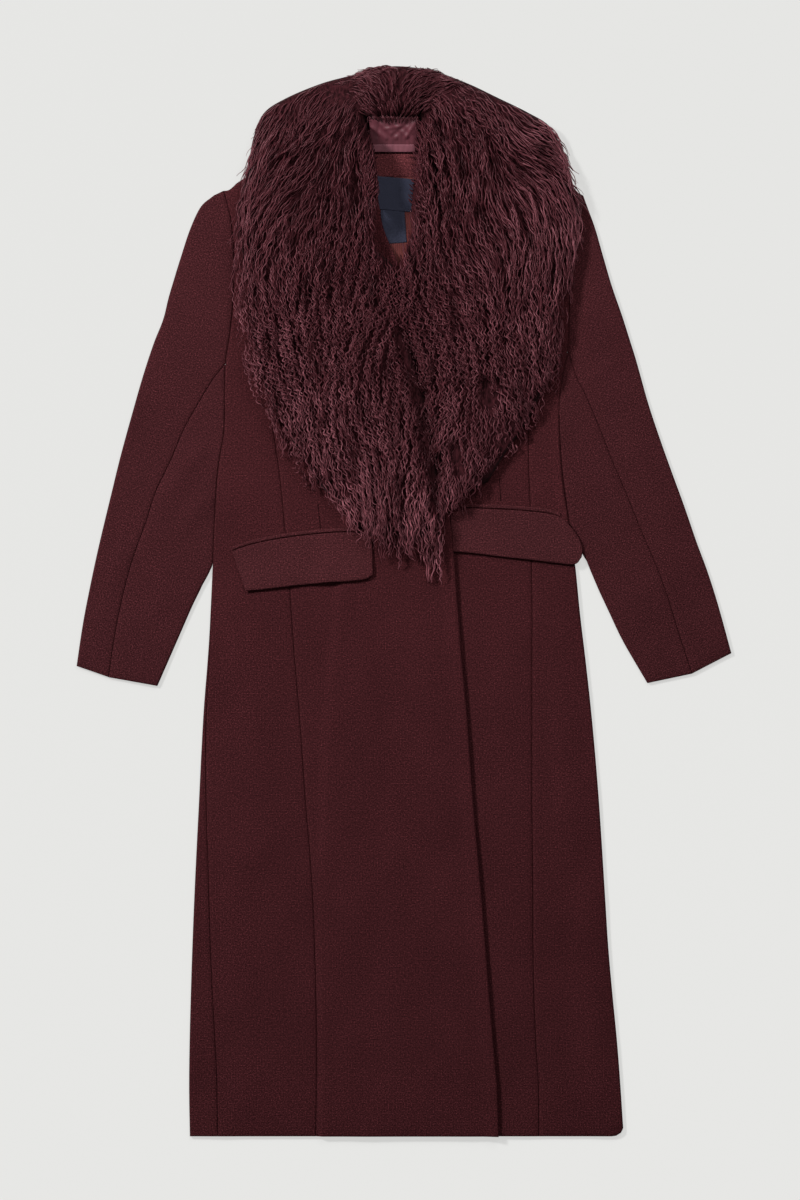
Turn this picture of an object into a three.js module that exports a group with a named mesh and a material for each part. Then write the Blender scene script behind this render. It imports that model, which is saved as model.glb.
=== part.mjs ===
// A double-breasted wool midi coat with a shaggy fur collar, laid flat on its back.
//
// Millimetres, +Z up. X runs across the coat, Y from the hem to the collar and Z from the
// surface that the coat lies on to the front. "Right" and "left" are the wearer's, so the
// right front, which laps over the left one, lies on the -X side.
//
// Every piece of cloth is a wall of the cloth's own thickness. A wall is a net of outer
// points, worked out from sections across the coat, and the same net moved in.
import * as THREE from 'three';

// ---- driving dimensions ---------------------------------------------------------------
const CLOTH = 2.6;          // coating, one layer
const LOFT = 0.8;           // rest gap between two layers that lie on each other
const SEAM = 0.3;           // gap at a seam, across it
const LAP_CLEAR = 0.6;      // between the left front and the right front that laps over it
const HEM_Y = -668;         // hem line
const UNDERARM_ROW_Y = 164; // last straight section below the armholes
const BODY_ROWS = 14;       // sections from the hem to there
const NECK_X = -7;          // middle of the neck
const NECK_HALF = 80;       // neck point to the middle of the neck
const SHOULDER_Y = 596;     // height of the neck points
const SHOULDER_SLOPE = 0.6; // fall of the shoulder per millimetre outwards
const SHOULDER_FADE = 60;   // the loft closes over this depth below the shoulder seam
const RETURN_WIDTH = 12;    // the left front turns under by this much at its side
const ARC_STEPS = 4;        // faces round a folded edge
const LINING = 1;           // lining, facing and satin
const LABEL = 0.7;          // woven label
const FLAP = 2.8;           // pocket flap, two layers pressed
const WELT = 1.6;           // raised welt over a pocket
const FUR_CLEAR = 0.9;      // pelt above the cloth that carries it
const SMALL_GAP = 0.3;      // between small pieces that lie on each other

// ---- tables ---------------------------------------------------------------------------
const table = (columns, rows) =>
  rows.map((row) => Object.fromEntries(columns.map((name, i) => [name, row[i]])));

// Sections of the body below the armholes: side folds, seams and front edges across X.
// sideSeam is how far the right side seam lies in from the fold, on the front.
const BODY = table(
  ['y', 'rightFold', 'leftFold', 'sideSeam', 'rightPrincess', 'overEdge', 'underEdge',
    'leftPrincess'],
  [
    [-668, -267.5, 274, 35, -110, 118, -100, 168.5],
    [-598, -268.5, 270, 35, -109, 115.5, -99.5, 168],
    [-536, -267.5, 265, 31, -109, 110, -98, 164],
    [-448, -265, 256.5, 24, -111, 103, -95.5, 161.5],
    [-348, -261, 250, 17, -115, 95, -91, 161],
    [-248, -256, 243.5, 9, -123, 86, -87, 160],
    [-148, -251, 235, 4, -130, 79, -82, 160],
    [-48, -243.5, 224, 1.5, -138.5, 70, -74, 160],
    [27, -240, 215, 0, -143, 64.5, -66, 160],
    [64, -238, 212.5, 0, -147, 61.5, -62, 159],
    [127, -235.5, 201.5, 0, -151.5, 54, -56, 158],
    [164, -232.5, 197.5, 0, -156, 46, -52, 156],
    [214, -225, 194.5, 0, -163, 37.5, -46, 155],
  ]);

// Sections above the underarm: each runs from the armhole over the princess seam to the
// front edge, which turns into the V of the neck at the fifth row.
const YOKE_COLUMNS = ['armX', 'armY', 'princessX', 'princessY', 'edgeX', 'edgeY'];
const RIGHT_YOKE = table(YOKE_COLUMNS, [
  [-225, 214, -163, 214, 37.5, 214],
  [-224, 252, -164.5, 256, 29.5, 258],
  [-223, 297, -165.5, 304, 17.5, 314],
  [-217.5, 333, -165.5, 348, 5, 364],
  [-212.5, 383, -165, 396, -6, 417],
  [-212, 433, -163, 448, -26, 467],
  [-216, 477, -160, 498, -39, 527],
  [-225, 513, -155, 555.5, -80, 588],
]);
const LEFT_YOKE = table(YOKE_COLUMNS, [
  [194.5, 229, 155, 224, -45, 219],
  [196, 271, 154, 267, -35.5, 267],
  [204, 312, 152.5, 312, -25, 321],
  [206, 352, 151, 357, -14.5, 373],
  [207, 396, 150, 402, -4, 419],
  [207.5, 439, 149, 447, 9, 464],
  [209.5, 479, 146, 496, 15, 521],
  [212.5, 513, 142.5, 557, 60, 588],
]);

// Sleeve heads, from the underarm's front seam up to the shoulder: the outer fold opposite
// each armhole point of the yoke rows 2 to 7. HEAD_START is the first of those rows.
const HEAD_START = 2;
const RIGHT_HEAD = table(['foldX', 'foldY'], [
  [-294.5, 378], [-287.5, 402], [-279, 429.5], [-267.5, 464.5], [-254, 493], [-238, 507],
]);
const LEFT_HEAD = table(['foldX', 'foldY'], [
  [272.5, 357], [260, 393], [249, 430.5], [239, 465.5], [230, 490.5], [224, 507],
]);
// Sleeves below that: the front seam, the outer fold and the inner fold.
const SLEEVE_COLUMNS = ['seamX', 'seamY', 'foldX', 'foldY', 'innerX', 'innerY'];
const RIGHT_SLEEVE = table(SLEEVE_COLUMNS, [
  [-240, 275.5, -301, 352, -228, 207],
  [-255, 250.5, -312.5, 323, -230.5, 193],
  [-274, 217, -326, 282, -234, 170.5],
  [-291, 177, -340, 233, -237, 130.5],
  [-310, 137, -354, 182, -239, 89.5],
  [-323, 97, -367.5, 127, -241.5, 55.5],
  [-339, 52, -381, 70.5, -251, 23],
  [-350, 12, -391, 24.5, -265, -7],
  [-360, -35.5, -401, -27, -284, -50.5],
  [-369, -94.5, -409, -80.5, -308, -105.5],
]);
const LEFT_SLEEVE = table(SLEEVE_COLUMNS, [
  [216, 279.5, 282.5, 325.5, 197.5, 214.5],
  [227.5, 257, 291, 298, 199, 197],
  [246, 213, 305, 248, 202, 167],
  [261, 174.5, 319, 205.5, 206, 130.5],
  [279, 132, 335, 160.5, 214.5, 95.5],
  [295, 92, 350, 119.5, 225.5, 58],
  [314, 48, 366, 73, 241, 19.5],
  [327.5, 12, 379, 38, 256, -13],
  [341, -32, 392.5, -4.5, 274, -50.5],
  [360, -90, 409, -64.5, 304, -102],
]);

// Soft folds: each raises the layer over a straight line by height, fading over width.
const FOLD_COLUMNS = ['x0', 'y0', 'x1', 'y1', 'width', 'height'];
const BODY_FOLDS = table(FOLD_COLUMNS, [
  [-62, -372, -92, -505, 38, 1.6],   // right front, beside the lap
  [-192, -50, -178, -320, 36, 1.7],  // right side front
  [-212, -370, -196, -625, 32, 1.4],
  [22, -40, 46, -270, 44, 1.3],      // on the lap
  [64, -430, 74, -620, 34, 1.1],
  [196, -50, 210, -330, 32, 1.7],    // left side front
  [230, -370, 245, -610, 28, 2.1],
  [120, -10, 126, -180, 38, 1.1],    // left front
  [139, -300, 146, -510, 42, 1],
  [-6, 417, -30, 500, 36, 2.6],      // roll of the right lapel
  [-30, 500, -44, 560, 36, 2.6],
  [-4, 417, 12, 480, 36, 2.6],       // roll of the left lapel
  [12, 480, 17, 560, 36, 2.6],
]);
const SLEEVE_FOLDS = table(FOLD_COLUMNS, [
  [-255, 187, -290, 142, 18, 2.4],   // drags from the right underarm
  [-246, 128, -276, 92, 15, 2],
  [-333, 250, -368, 170, 22, 1.5],
  [-352, 60, -378, -20, 24, 1.4],
  [232, 205, 262, 150, 20, 1.8],     // and from the left one
  [290, 190, 330, 105, 24, 1.5],
  [318, 20, 352, -35, 24, 1.4],
]);

// Fur lapels: each row runs from the roll edge or the parting to the outer tips.
// depth is the height of the fur at its thickest.
const FUR_COLUMNS = ['innerX', 'innerY', 'outerX', 'outerY', 'depth'];
const RIGHT_LAPEL = table(FUR_COLUMNS, [
  [-50, 611, -68, 658, 34],
  [-47.5, 603, -105, 648, 36],
  [-45, 588, -149, 630, 37],
  [-44, 568, -178, 611, 37],
  [-41, 546, -191.5, 579, 36],
  [-37.5, 519, -198, 542, 35],
  [-31, 483, -211, 490, 35],
  [-22.5, 448, -219, 433, 34],
  [-5.4, 417, -220.5, 377, 34],
  [4.6, 370.5, -214, 320, 34],
  [15.8, 320.5, -200, 264, 33],
  [28.4, 264.5, -177.5, 220, 32],
  [38.4, 208, -151, 180, 31],
  [45.8, 152, -124, 143, 30],
  [50.2, 108, -93, 121, 28],
  [45, 77, -74, 93, 26],
  [32.5, 52, -60, 65, 24],
  [8, 34, -36, 46, 19],
]);
const LEFT_LAPEL = table(FUR_COLUMNS, [
  [27.5, 611, 45.5, 662, 34],
  [17.5, 603, 84, 647, 36],
  [17.5, 588, 120, 630, 37],
  [17.5, 568, 157.5, 612, 37],
  [16, 546, 186, 594, 36],
  [14, 517, 202.5, 562, 35],
  [9, 479.5, 216, 517, 35],
  [2.5, 445.5, 224, 489, 34],
  [-4.6, 417, 222.5, 450, 34],
  [5.4, 370.5, 214, 395, 32],
  [16.6, 320.5, 207.5, 333, 31],
  [29.2, 264.5, 196, 277, 30],
  [39.2, 208, 170, 229, 29],
  [46.6, 152, 135, 187, 28],
  [51, 108, 104, 142, 25],
  [56.5, 92, 80, 109, 19],
]);
const BACK_COLLAR = table(FUR_COLUMNS, [
  [-46, 609, -64, 656.5, 34],
  [-38, 606, -52, 662.5, 37],
  [-24.5, 604, -32, 667, 39],
  [-11, 603.5, -11, 669, 40],
  [3, 604, 11, 667.5, 39],
  [15.5, 606, 30, 665, 37],
  [24, 609, 41.5, 660.5, 34],
]);
// Locks that stand out of the fur, and one that sinks in.
const FUR_CLUMPS = table(FOLD_COLUMNS, [
  [-206, 480, -212, 380, 26, 7],
  [-150, 590, -186, 520, 24, 6],
  [-92, 560, -138, 470, 26, 5],
  [-110, 420, -122, 320, 28, 5],
  [-176, 330, -160, 255, 24, 6],
  [-60, 330, -52, 230, 28, 5],
  [-20, 190, -12, 90, 26, 6],
  [-92, 200, -84, 130, 24, 5],
  [165, 575, 200, 500, 26, 7],
  [90, 600, 130, 540, 24, 6],
  [70, 500, 112, 430, 26, 5],
  [180, 440, 190, 340, 26, 6],
  [80, 360, 96, 270, 26, 5],
  [142, 300, 132, 220, 22, 5],
  [88, 190, 96, 140, 20, 5],
  [101, 262, 101, 250, 26, -9],
]);

// Pockets: the line of the upper edge and of the lower edge of each flap, point by point.
const FLAP_COLUMNS = ['topX', 'topY', 'lowX', 'lowY'];
const RIGHT_FLAP = table(FLAP_COLUMNS, [
  [-215, 63, -197.5, 13],
  [-189, 71.5, -167.5, 16],
  [-151, 79, -130, 20.5],
  [-105, 84.5, -92.5, 24],
  [-67.5, 86.5, -65, 25.5],
  [-47.5, 84, -47.5, 30],
  [-40, 80, -39, 40],
]);
const LEFT_FLAP = table(FLAP_COLUMNS, [
  [57.5, 109.5, 64.5, 64],
  [81, 116, 89, 60],
  [109, 115, 120, 56],
  [145, 113, 157.5, 52],
  [176, 110, 190, 48],
  [195, 105, 213, 46.5],
  [202.5, 99.5, 221.5, 55],
]);
const WELT_COLUMNS = ['x', 'y'];
const RIGHT_WELT = table(WELT_COLUMNS, [
  [-215, 64], [-189, 72.5], [-151, 80], [-105, 85.5], [-67.5, 87.5], [-47.5, 85],
]);
const LEFT_WELT = table(WELT_COLUMNS, [
  [57.5, 117], [81, 117.5], [109, 116.5], [145, 114.5], [176, 111.5], [195, 106.5],
]);

// Inside the neck: ends of each piece at its lower and upper edge.
const NECK_PIECE_COLUMNS = ['y', 'startX', 'endX'];
const BACK_LINING = table(NECK_PIECE_COLUMNS, [
  [412, -12, 3], [440, -25, 11], [470, -34, 17], [500, -41, 20], [530, -45, 22],
]);
const NECK_FACING = table(NECK_PIECE_COLUMNS, [
  [530.4, -45, 22], [545, -48, 24], [559, -50, 25],
]);
const STAND_TILT = 0.46;    // the stand leans back by its rise per millimetre of depth
const STAND_Y = 560;        // neck seam, where the stand starts
const STAND_TOP_Y = 602;
const STAND_BASE = 2.9;
const COLLAR_STAND = table(NECK_PIECE_COLUMNS, [
  [STAND_Y, -41, 16], [STAND_TOP_Y, -43.5, 16.5],
]);
const SATIN = table(NECK_PIECE_COLUMNS, [
  [STAND_Y + 2, -41, 16], [STAND_TOP_Y, -43.5, 16.5],
]);
const LOOP = { startX: -38.5, endX: 14, y: 562.5, depth: 9 };
const MAIN_LABEL = { centreX: -13.5, centreY: 509, width: 49, depth: 41, turn: -5 };
const SIZE_LABEL = { centreX: -13, centreY: 466.5, width: 28, depth: 38, turn: 4 };

// ---- small helpers --------------------------------------------------------------------
const lerp = (a, b, t) => a + (b - a) * t;
const clamp = (v, low, high) => Math.min(high, Math.max(low, v));
const smooth = (t) => {
  const c = clamp(t, 0, 1);
  return c * c * (3 - 2 * c);
};
const add = (p, n, d) => [p[0] + n[0] * d, p[1] + n[1] * d, p[2] + n[2] * d];
const fractions = (count) => Array.from({ length: count + 1 }, (_, i) => i / count);
const radians = (degrees) => degrees * Math.PI / 180;

// Value of a table's column at a place along its first column, on a smooth curve.
function along(rows, key, name, place) {
  const rising = rows[rows.length - 1][key] > rows[0][key];
  let i = 0;
  while (i < rows.length - 2 && (rising ? place > rows[i + 1][key] : place < rows[i + 1][key])) {
    i += 1;
  }
  const [a, b] = [rows[i], rows[i + 1]];
  const before = rows[Math.max(i - 1, 0)];
  const after = rows[Math.min(i + 2, rows.length - 1)];
  const span = b[key] - a[key];
  const t = clamp((place - a[key]) / span, 0, 1);
  const slopeA = (b[name] - before[name]) / (b[key] - before[key]) * span;
  const slopeB = (after[name] - a[name]) / (after[key] - a[key]) * span;
  const [t2, t3] = [t * t, t * t * t];
  return (2 * t3 - 3 * t2 + 1) * a[name] + (t3 - 2 * t2 + t) * slopeA
    + (3 * t2 - 2 * t3) * b[name] + (t3 - t2) * slopeB;
}

// Place on the straight pieces between the rows of a table, t from 0 to 1.
function between(rows, name, t) {
  const place = clamp(t, 0, 1) * (rows.length - 1);
  const i = Math.min(Math.floor(place), rows.length - 2);
  return lerp(rows[i][name], rows[i + 1][name], place - i);
}

// Sum of the soft folds at a place: each is a cosine bell across its line.
function raised(folds, x, y) {
  let total = 0;
  for (const f of folds) {
    const [dx, dy] = [f.x1 - f.x0, f.y1 - f.y0];
    const t = clamp(((x - f.x0) * dx + (y - f.y0) * dy) / (dx * dx + dy * dy), 0, 1);
    const away = Math.hypot(x - f.x0 - t * dx, y - f.y0 - t * dy) / f.width;
    if (away < 1) total += f.height * (0.5 + 0.5 * Math.cos(Math.PI * away));
  }
  return total;
}

// A closed wall between a net of outer points and the net of inner points behind it.
function wall(outer, inner) {
  const [rows, columns] = [outer.length, outer[0].length];
  const middle = [Math.floor((rows - 1) / 2), Math.floor((columns - 1) / 2)];
  const at = (net, i, j) => new THREE.Vector3(...net[i][j]);
  const corner = at(outer, ...middle);
  const acrossColumns = at(outer, middle[0], middle[1] + 1).sub(corner);
  const acrossRows = at(outer, middle[0] + 1, middle[1]).sub(corner);
  const outwards = corner.clone().sub(at(inner, ...middle));
  const turned = acrossColumns.cross(acrossRows).dot(outwards) < 0;
  const positions = [...outer.flat(2), ...inner.flat(2)];
  const indices = [];
  const face = (a, b, c, d) => {
    if (turned) indices.push(a, c, b, a, d, c);
    else indices.push(a, b, c, a, c, d);
  };
  const o = (i, j) => i * columns + j;
  const n = (i, j) => rows * columns + o(i, j);
  for (let i = 0; i < rows - 1; i += 1) {
    for (let j = 0; j < columns - 1; j += 1) {
      face(o(i, j), o(i, j + 1), o(i + 1, j + 1), o(i + 1, j));
      face(n(i, j), n(i + 1, j), n(i + 1, j + 1), n(i, j + 1));
    }
    face(o(i, 0), o(i + 1, 0), n(i + 1, 0), n(i, 0));
    face(o(i, columns - 1), n(i, columns - 1), n(i + 1, columns - 1), o(i + 1, columns - 1));
  }
  for (let j = 0; j < columns - 1; j += 1) {
    face(o(0, j + 1), o(0, j), n(0, j), n(0, j + 1));
    face(o(rows - 1, j), o(rows - 1, j + 1), n(rows - 1, j + 1), n(rows - 1, j));
  }
  const geometry = new THREE.BufferGeometry();
  geometry.setAttribute('position', new THREE.Float32BufferAttribute(positions, 3));
  geometry.setIndex(indices);
  geometry.computeVertexNormals();
  return geometry;
}

// A wall from sections of points that carry their own outward normal.
function clothWall(sections, thickness = CLOTH) {
  const outer = sections.map((section) => section.map((s) => s.point));
  const inner = sections.map((section) => section.map((s) => add(s.point, s.normal, -thickness)));
  return wall(outer, inner);
}

// A flat piece whose underside follows a height over X and Y.
function layOn(plan, height, thickness) {
  const low = plan.map((row) => row.map(([x, y]) => [x, y, height(x, y)]));
  return wall(low.map((row) => row.map(([x, y, z]) => [x, y, z + thickness])), low);
}

// ---- heights of the layers ------------------------------------------------------------
const shoulderY = (x) =>
  SHOULDER_Y - SHOULDER_SLOPE * Math.max(Math.abs(x - NECK_X) - NECK_HALF, 0);
const loftAt = (x, y) =>
  lerp(LOFT, SEAM, smooth((y - shoulderY(x) + SHOULDER_FADE) / SHOULDER_FADE));
const edgeRadius = (x, y) => CLOTH + loftAt(x, y) / 2;
const bodyTop = (x, y) => 2 * CLOTH + loftAt(x, y) + raised(BODY_FOLDS, x, y);
const sleeveTop = (x, y) => 2 * CLOTH + loftAt(x, y) + raised(SLEEVE_FOLDS, x, y);

// The right front climbs over the hidden edge of the left front, from foot to crest.
const LAP = { foot: 22, crest: 8, seamRoom: 2, crestRoom: 7, rise: CLOTH + LAP_CLEAR };
function hiddenEdge(y) {
  if (y <= LEFT_YOKE[0].edgeY) return along(BODY, 'y', 'underEdge', y);
  return along(LEFT_YOKE, 'edgeY', 'edgeX', y);
}
function lapLines(y) {
  const princess = y < LEFT_YOKE[0].edgeY ? along(BODY, 'y', 'rightPrincess', y) : -Infinity;
  const foot = Math.max(hiddenEdge(y) - LAP.foot, princess + LAP.seamRoom);
  return { foot, crest: Math.max(hiddenEdge(y) - LAP.crest, foot + LAP.crestRoom) };
}
function lapRise(x, y) {
  const { foot, crest } = lapLines(y);
  return LAP.rise * clamp((x - foot) / (crest - foot), 0, 1);
}
const lapTop = (x, y) => bodyTop(x, y) + lapRise(x, y);

// ---- sections of the body -------------------------------------------------------------
// A place round a side fold, by its distance s along the cloth from the fold's outermost
// line: s is positive on the front and negative underneath. inwards is +1 on the right
// side of the coat and -1 on the left. Above the underarm the fold opens flat.
function roundFold(foldX, y, inwards, s, open, top) {
  const radius = edgeRadius(foldX, y);
  const quarter = radius * Math.PI / 2;
  if (open) {
    const x = foldX + inwards * Math.abs(s);
    return s >= 0
      ? { point: [x, y, top(x, y)], normal: [0, 0, 1] }
      : { point: [x, y, 0], normal: [0, 0, -1] };
  }
  if (s > quarter) {
    const x = foldX + inwards * (radius + s - quarter);
    return { point: [x, y, top(x, y)], normal: [0, 0, 1] };
  }
  if (s < -quarter) {
    const x = foldX + inwards * (radius - s - quarter);
    return { point: [x, y, 0], normal: [0, 0, -1] };
  }
  const angle = s / radius;
  const normal = [-inwards * Math.cos(angle), 0, Math.sin(angle)];
  return { point: [foldX + inwards * radius + normal[0] * radius, y, radius + normal[2] * radius],
    normal };
}
// Distance along the cloth from the fold's outermost line to a seam that lies in by width.
function alongFold(width, radius) {
  if (width < radius) return radius * Math.acos(1 - Math.max(width, 0) / radius);
  return radius * Math.PI / 2 + width - radius;
}
const RETURN_FADE = { y: 60, depth: 90 };

// Rows shared by every panel: straight sections below the underarm, then the yoke.
function bodyRows() {
  return fractions(BODY_ROWS).map((t) => lerp(HEM_Y, UNDERARM_ROW_Y, t));
}
function foldRow(side, y) {
  const foldX = along(BODY, 'y', side === 'right' ? 'rightFold' : 'leftFold', y);
  const radius = edgeRadius(foldX, y);
  const turnedUnder = 1 - smooth((y - RETURN_FADE.y) / RETURN_FADE.depth);
  const seam = side === 'right'
    ? alongFold(along(BODY, 'y', 'sideSeam', y), radius)
    : -(radius * Math.PI / 2 + RETURN_WIDTH) * turnedUnder;
  return { foldX, foldY: y, seam, open: false };
}
function sideRows(side) {
  const yoke = side === 'right' ? RIGHT_YOKE : LEFT_YOKE;
  return [
    ...bodyRows().map((y) => foldRow(side, y)),
    ...yoke.map((row, k) => ({ foldX: row.armX, foldY: row.armY, seam: 0, open: k > 0 })),
  ];
}
function princessRows(side) {
  const [yoke, name] = side === 'right'
    ? [RIGHT_YOKE, 'rightPrincess'] : [LEFT_YOKE, 'leftPrincess'];
  return [
    ...bodyRows().map((y) => ({ x: along(BODY, 'y', name, y), y })),
    ...yoke.map((row) => ({ x: row.princessX, y: row.princessY })),
  ];
}
function edgeRows(side) {
  const [yoke, name] = side === 'right' ? [RIGHT_YOKE, 'overEdge'] : [LEFT_YOKE, 'underEdge'];
  return [
    ...bodyRows().map((y) => ({ x: along(BODY, 'y', name, y), y })),
    ...yoke.map((row) => ({ x: row.edgeX, y: row.edgeY })),
  ];
}

// The hem rises in a short curve at the left front's lower corner.
const HEM_CORNER = { radius: 14, rise: 12 };
function hemLift(x, y) {
  if (y > HEM_Y + 1) return 0;
  const near = clamp((x - BODY[0].leftFold) / HEM_CORNER.radius + 1, 0, 1);
  return HEM_CORNER.rise * (1 - Math.sqrt(1 - near * near));
}
const lifted = (section) => section.map(({ point, normal }) => ({
  point: [point[0], point[1] + hemLift(point[0], point[1]), point[2]], normal,
}));

// A side front: from its side seam, round the fold, to the princess seam.
const SIDE_STEPS = 4;
const LEAST_BEND = 4;       // least cloth between the seam and the flat of a side front
const FIRST_SHARE = 0.12;   // of that bend, up to its first point
function sideFront(side, top) {
  const inwards = side === 'right' ? 1 : -1;
  const princess = princessRows(side);
  const sections = sideRows(side).map((row, i) => {
    const radius = edgeRadius(row.foldX, row.foldY);
    const quarter = radius * Math.PI / 2;
    const start = row.seam + SEAM / 2;
    const bend = Math.max(quarter, start + LEAST_BEND);
    const span = princess[i].x - inwards * SEAM / 2 - row.foldX;
    const end = inwards * span + (row.open ? 0 : quarter - radius);
    const stops = side === 'left' && row.seam < -quarter
      ? [start, ...fractions(ARC_STEPS).map((t) => lerp(-quarter, quarter, t))]
      : [start, ...fractions(ARC_STEPS).map((t) => lerp(lerp(start, bend, FIRST_SHARE), bend, t))];
    const flat = fractions(SIDE_STEPS).slice(1).map((t) => lerp(bend, end, t));
    const tilt = princess[i].y - row.foldY;
    return [...stops, ...flat].map((s) => {
      const place = roundFold(row.foldX, row.foldY, inwards, s, row.open, top);
      const share = clamp((place.point[0] - row.foldX) / span, 0, 1);
      const y = row.foldY + tilt * share * smooth(share * 4);
      const z = place.normal[2] === 1 ? top(place.point[0], y) : place.point[2];
      return { point: [place.point[0], y, z], normal: place.normal };
    });
  });
  return clothWall(sections.map(lifted));
}

// A centre front: from its princess seam to the front edge. The right one climbs the lap
// between two of its columns, which keep to these shares of the row near the neck.
const CENTRE_STEPS = 6;
const CLIMB = { least: 0.01, footMost: 0.84, crestMost: 0.91 };
function centreFront(side, top) {
  const outwards = side === 'right' ? 1 : -1;
  const princess = princessRows(side);
  const edge = edgeRows(side);
  const sections = princess.map((start, i) => {
    const x0 = start.x + outwards * SEAM / 2;
    const width = edge[i].x - x0;
    let shares = fractions(CENTRE_STEPS + 2);
    if (side === 'right') {
      const { foot, crest } = lapLines(edge[i].y);
      const footShare = clamp((foot - x0) / width, CLIMB.least, CLIMB.footMost);
      const crestShare = clamp((crest - x0) / width, footShare + CLIMB.least, CLIMB.crestMost);
      const rest = fractions(CENTRE_STEPS).map((t) => lerp(crestShare, 1, t));
      shares = [0, footShare, ...rest];
    }
    return shares.map((share) => {
      const x = x0 + width * share;
      const y = lerp(start.y, edge[i].y, share);
      return { point: [x, y, top(x, y)], normal: [0, 0, 1] };
    });
  });
  return clothWall(sections);
}

// The back: from the right side seam on the front, round the fold and under the whole
// coat to the left side seam. Its top edge follows the shoulders and the back of the neck.
const BACK_SHARES = [0.13, 0.285, 0.4, 0.5, 0.6, 0.705, 0.87];
const SMALL_BEND = 0.6;     // least cloth between a seam and the next point of a fold
const BACK_NECK_DROP = 30;
function backPanel() {
  const [right, left] = [sideRows('right'), sideRows('left')];
  const lastRow = right.length - 1;
  const sections = right.map((row, i) => {
    const radius = edgeRadius(row.foldX, row.foldY);
    const quarter = radius * Math.PI / 2;
    const start = row.seam - SEAM / 2;
    const bend = Math.min(quarter, start - SMALL_BEND);
    const rightSide = [start, lerp(start, bend, 0.5),
      ...fractions(ARC_STEPS).map((t) => lerp(bend, -quarter, t))]
      .map((s) => roundFold(row.foldX, row.foldY, 1, s, row.open, bodyTop));
    const other = left[i];
    const otherQuarter = edgeRadius(other.foldX, other.foldY) * Math.PI / 2;
    const otherEnd = other.seam - SEAM / 2;
    const otherBend = Math.min(-otherQuarter, otherEnd - SMALL_BEND);
    const leftSide = fractions(3).map((t) => lerp(otherBend, otherEnd, t))
      .map((s) => roundFold(other.foldX, other.foldY, -1, s, other.open, bodyTop));
    const [from, to] = [rightSide[rightSide.length - 1].point, leftSide[0].point];
    const shoulder = smooth((i - BODY_ROWS - 2) / (lastRow - BODY_ROWS - 2));
    const middle = BACK_SHARES.map((share) => {
      const x = lerp(from[0], to[0], share);
      const level = lerp(row.foldY, other.foldY, share);
      const neck = Math.max(1 - Math.abs(x - NECK_X) / NECK_HALF, 0) * BACK_NECK_DROP;
      const y = level + shoulder * (shoulderY(x) - lerp(row.foldY, other.foldY, share) - neck);
      return { point: [x, y, 0], normal: [0, 0, -1] };
    });
    return [...rightSide, ...middle, ...leftSide];
  });
  return clothWall(sections.map(lifted));
}

// ---- sections of the sleeves ----------------------------------------------------------
// From an edge on the front, over the top, round a fold and back underneath. from and fold
// are plan points, and the fold's arc stands upright in the plane of the section. A curve
// takes the place of the straight line between them where an edge is shaped.
function tubeSection(from, fold, flatSteps, curve) {
  const reach = [fold[0] - from[0], fold[1] - from[1]];
  const length = Math.hypot(...reach);
  const heading = [reach[0] / length, reach[1] / length];
  const radius = edgeRadius(...fold);
  const centre = [fold[0] - heading[0] * radius, fold[1] - heading[1] * radius];
  const flat = fractions(flatSteps).slice(0, -1)
    .map((t) => (curve ? curve(t) : [lerp(from[0], centre[0], t), lerp(from[1], centre[1], t)]));
  const over = flat.map(([x, y]) => ({ point: [x, y, sleeveTop(x, y)], normal: [0, 0, 1] }));
  const arc = fractions(ARC_STEPS).map((t) => {
    const angle = lerp(Math.PI / 2, -Math.PI / 2, t);
    const normal = [heading[0] * Math.cos(angle), heading[1] * Math.cos(angle), Math.sin(angle)];
    return { point: add([centre[0], centre[1], radius], normal, radius), normal };
  });
  const under = flat.slice().reverse()
    .map(([x, y]) => ({ point: [x, y, 0], normal: [0, 0, -1] }));
  return [...over, ...arc, ...under];
}

function sleeveParts(side) {
  const right = side === 'right';
  const inwards = right ? 1 : -1;
  const yoke = right ? RIGHT_YOKE : LEFT_YOKE;
  const head = right ? RIGHT_HEAD : LEFT_HEAD;
  const rows = right ? RIGHT_SLEEVE : LEFT_SLEEVE;
  const armhole = (k, gap) => [yoke[k].armX - inwards * gap, yoke[k].armY];
  return { inwards, yoke, head, rows, armhole };
}
const TOP_STEPS = 4;
const UNDER_STEPS = 4;
const ARMHOLE_GAP = 0.5;

// The top sleeve: from the shoulder to the cuff, over the outer fold.
function topSleeve(side) {
  const { inwards, yoke, head, rows, armhole } = sleeveParts(side);
  const sections = [];
  for (let k = yoke.length - 1; k >= HEAD_START; k -= 1) {
    const fold = head[k - HEAD_START];
    sections.push(tubeSection(armhole(k, ARMHOLE_GAP), [fold.foldX, fold.foldY], TOP_STEPS));
  }
  for (const row of rows) {
    sections.push(tubeSection([row.seamX - inwards * SEAM / 2, row.seamY + SEAM / 2],
      [row.foldX, row.foldY], TOP_STEPS));
  }
  return clothWall(sections);
}

// The under sleeve: its first edge follows the armhole down to the underarm and back.
function underSleeve(side) {
  const { inwards, yoke, rows, armhole } = sleeveParts(side);
  const gap = ARMHOLE_GAP + SEAM / 2;
  const start = armhole(HEAD_START, gap);
  start[1] -= 1;
  const pit = armhole(0, gap);
  const radius = edgeRadius(...pit);
  const path = table(['x', 'y'], [start, armhole(1, gap), [pit[0] - inwards * radius, pit[1]]]);
  const alongArmhole = (t) => [between(path, 'x', t), between(path, 'y', t)];
  const first = tubeSection([path[2].x, pit[1]], pit, UNDER_STEPS, alongArmhole);
  const sections = [first];
  for (const row of rows) {
    sections.push(tubeSection([row.seamX + inwards * SEAM / 2, row.seamY - SEAM / 2],
      [row.innerX, row.innerY], UNDER_STEPS));
  }
  return clothWall(sections);
}

// ---- pockets --------------------------------------------------------------------------
const FLAP_STEPS = { along: 12, across: 3 };
const FLAP_LIFT = 0.5;
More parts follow.
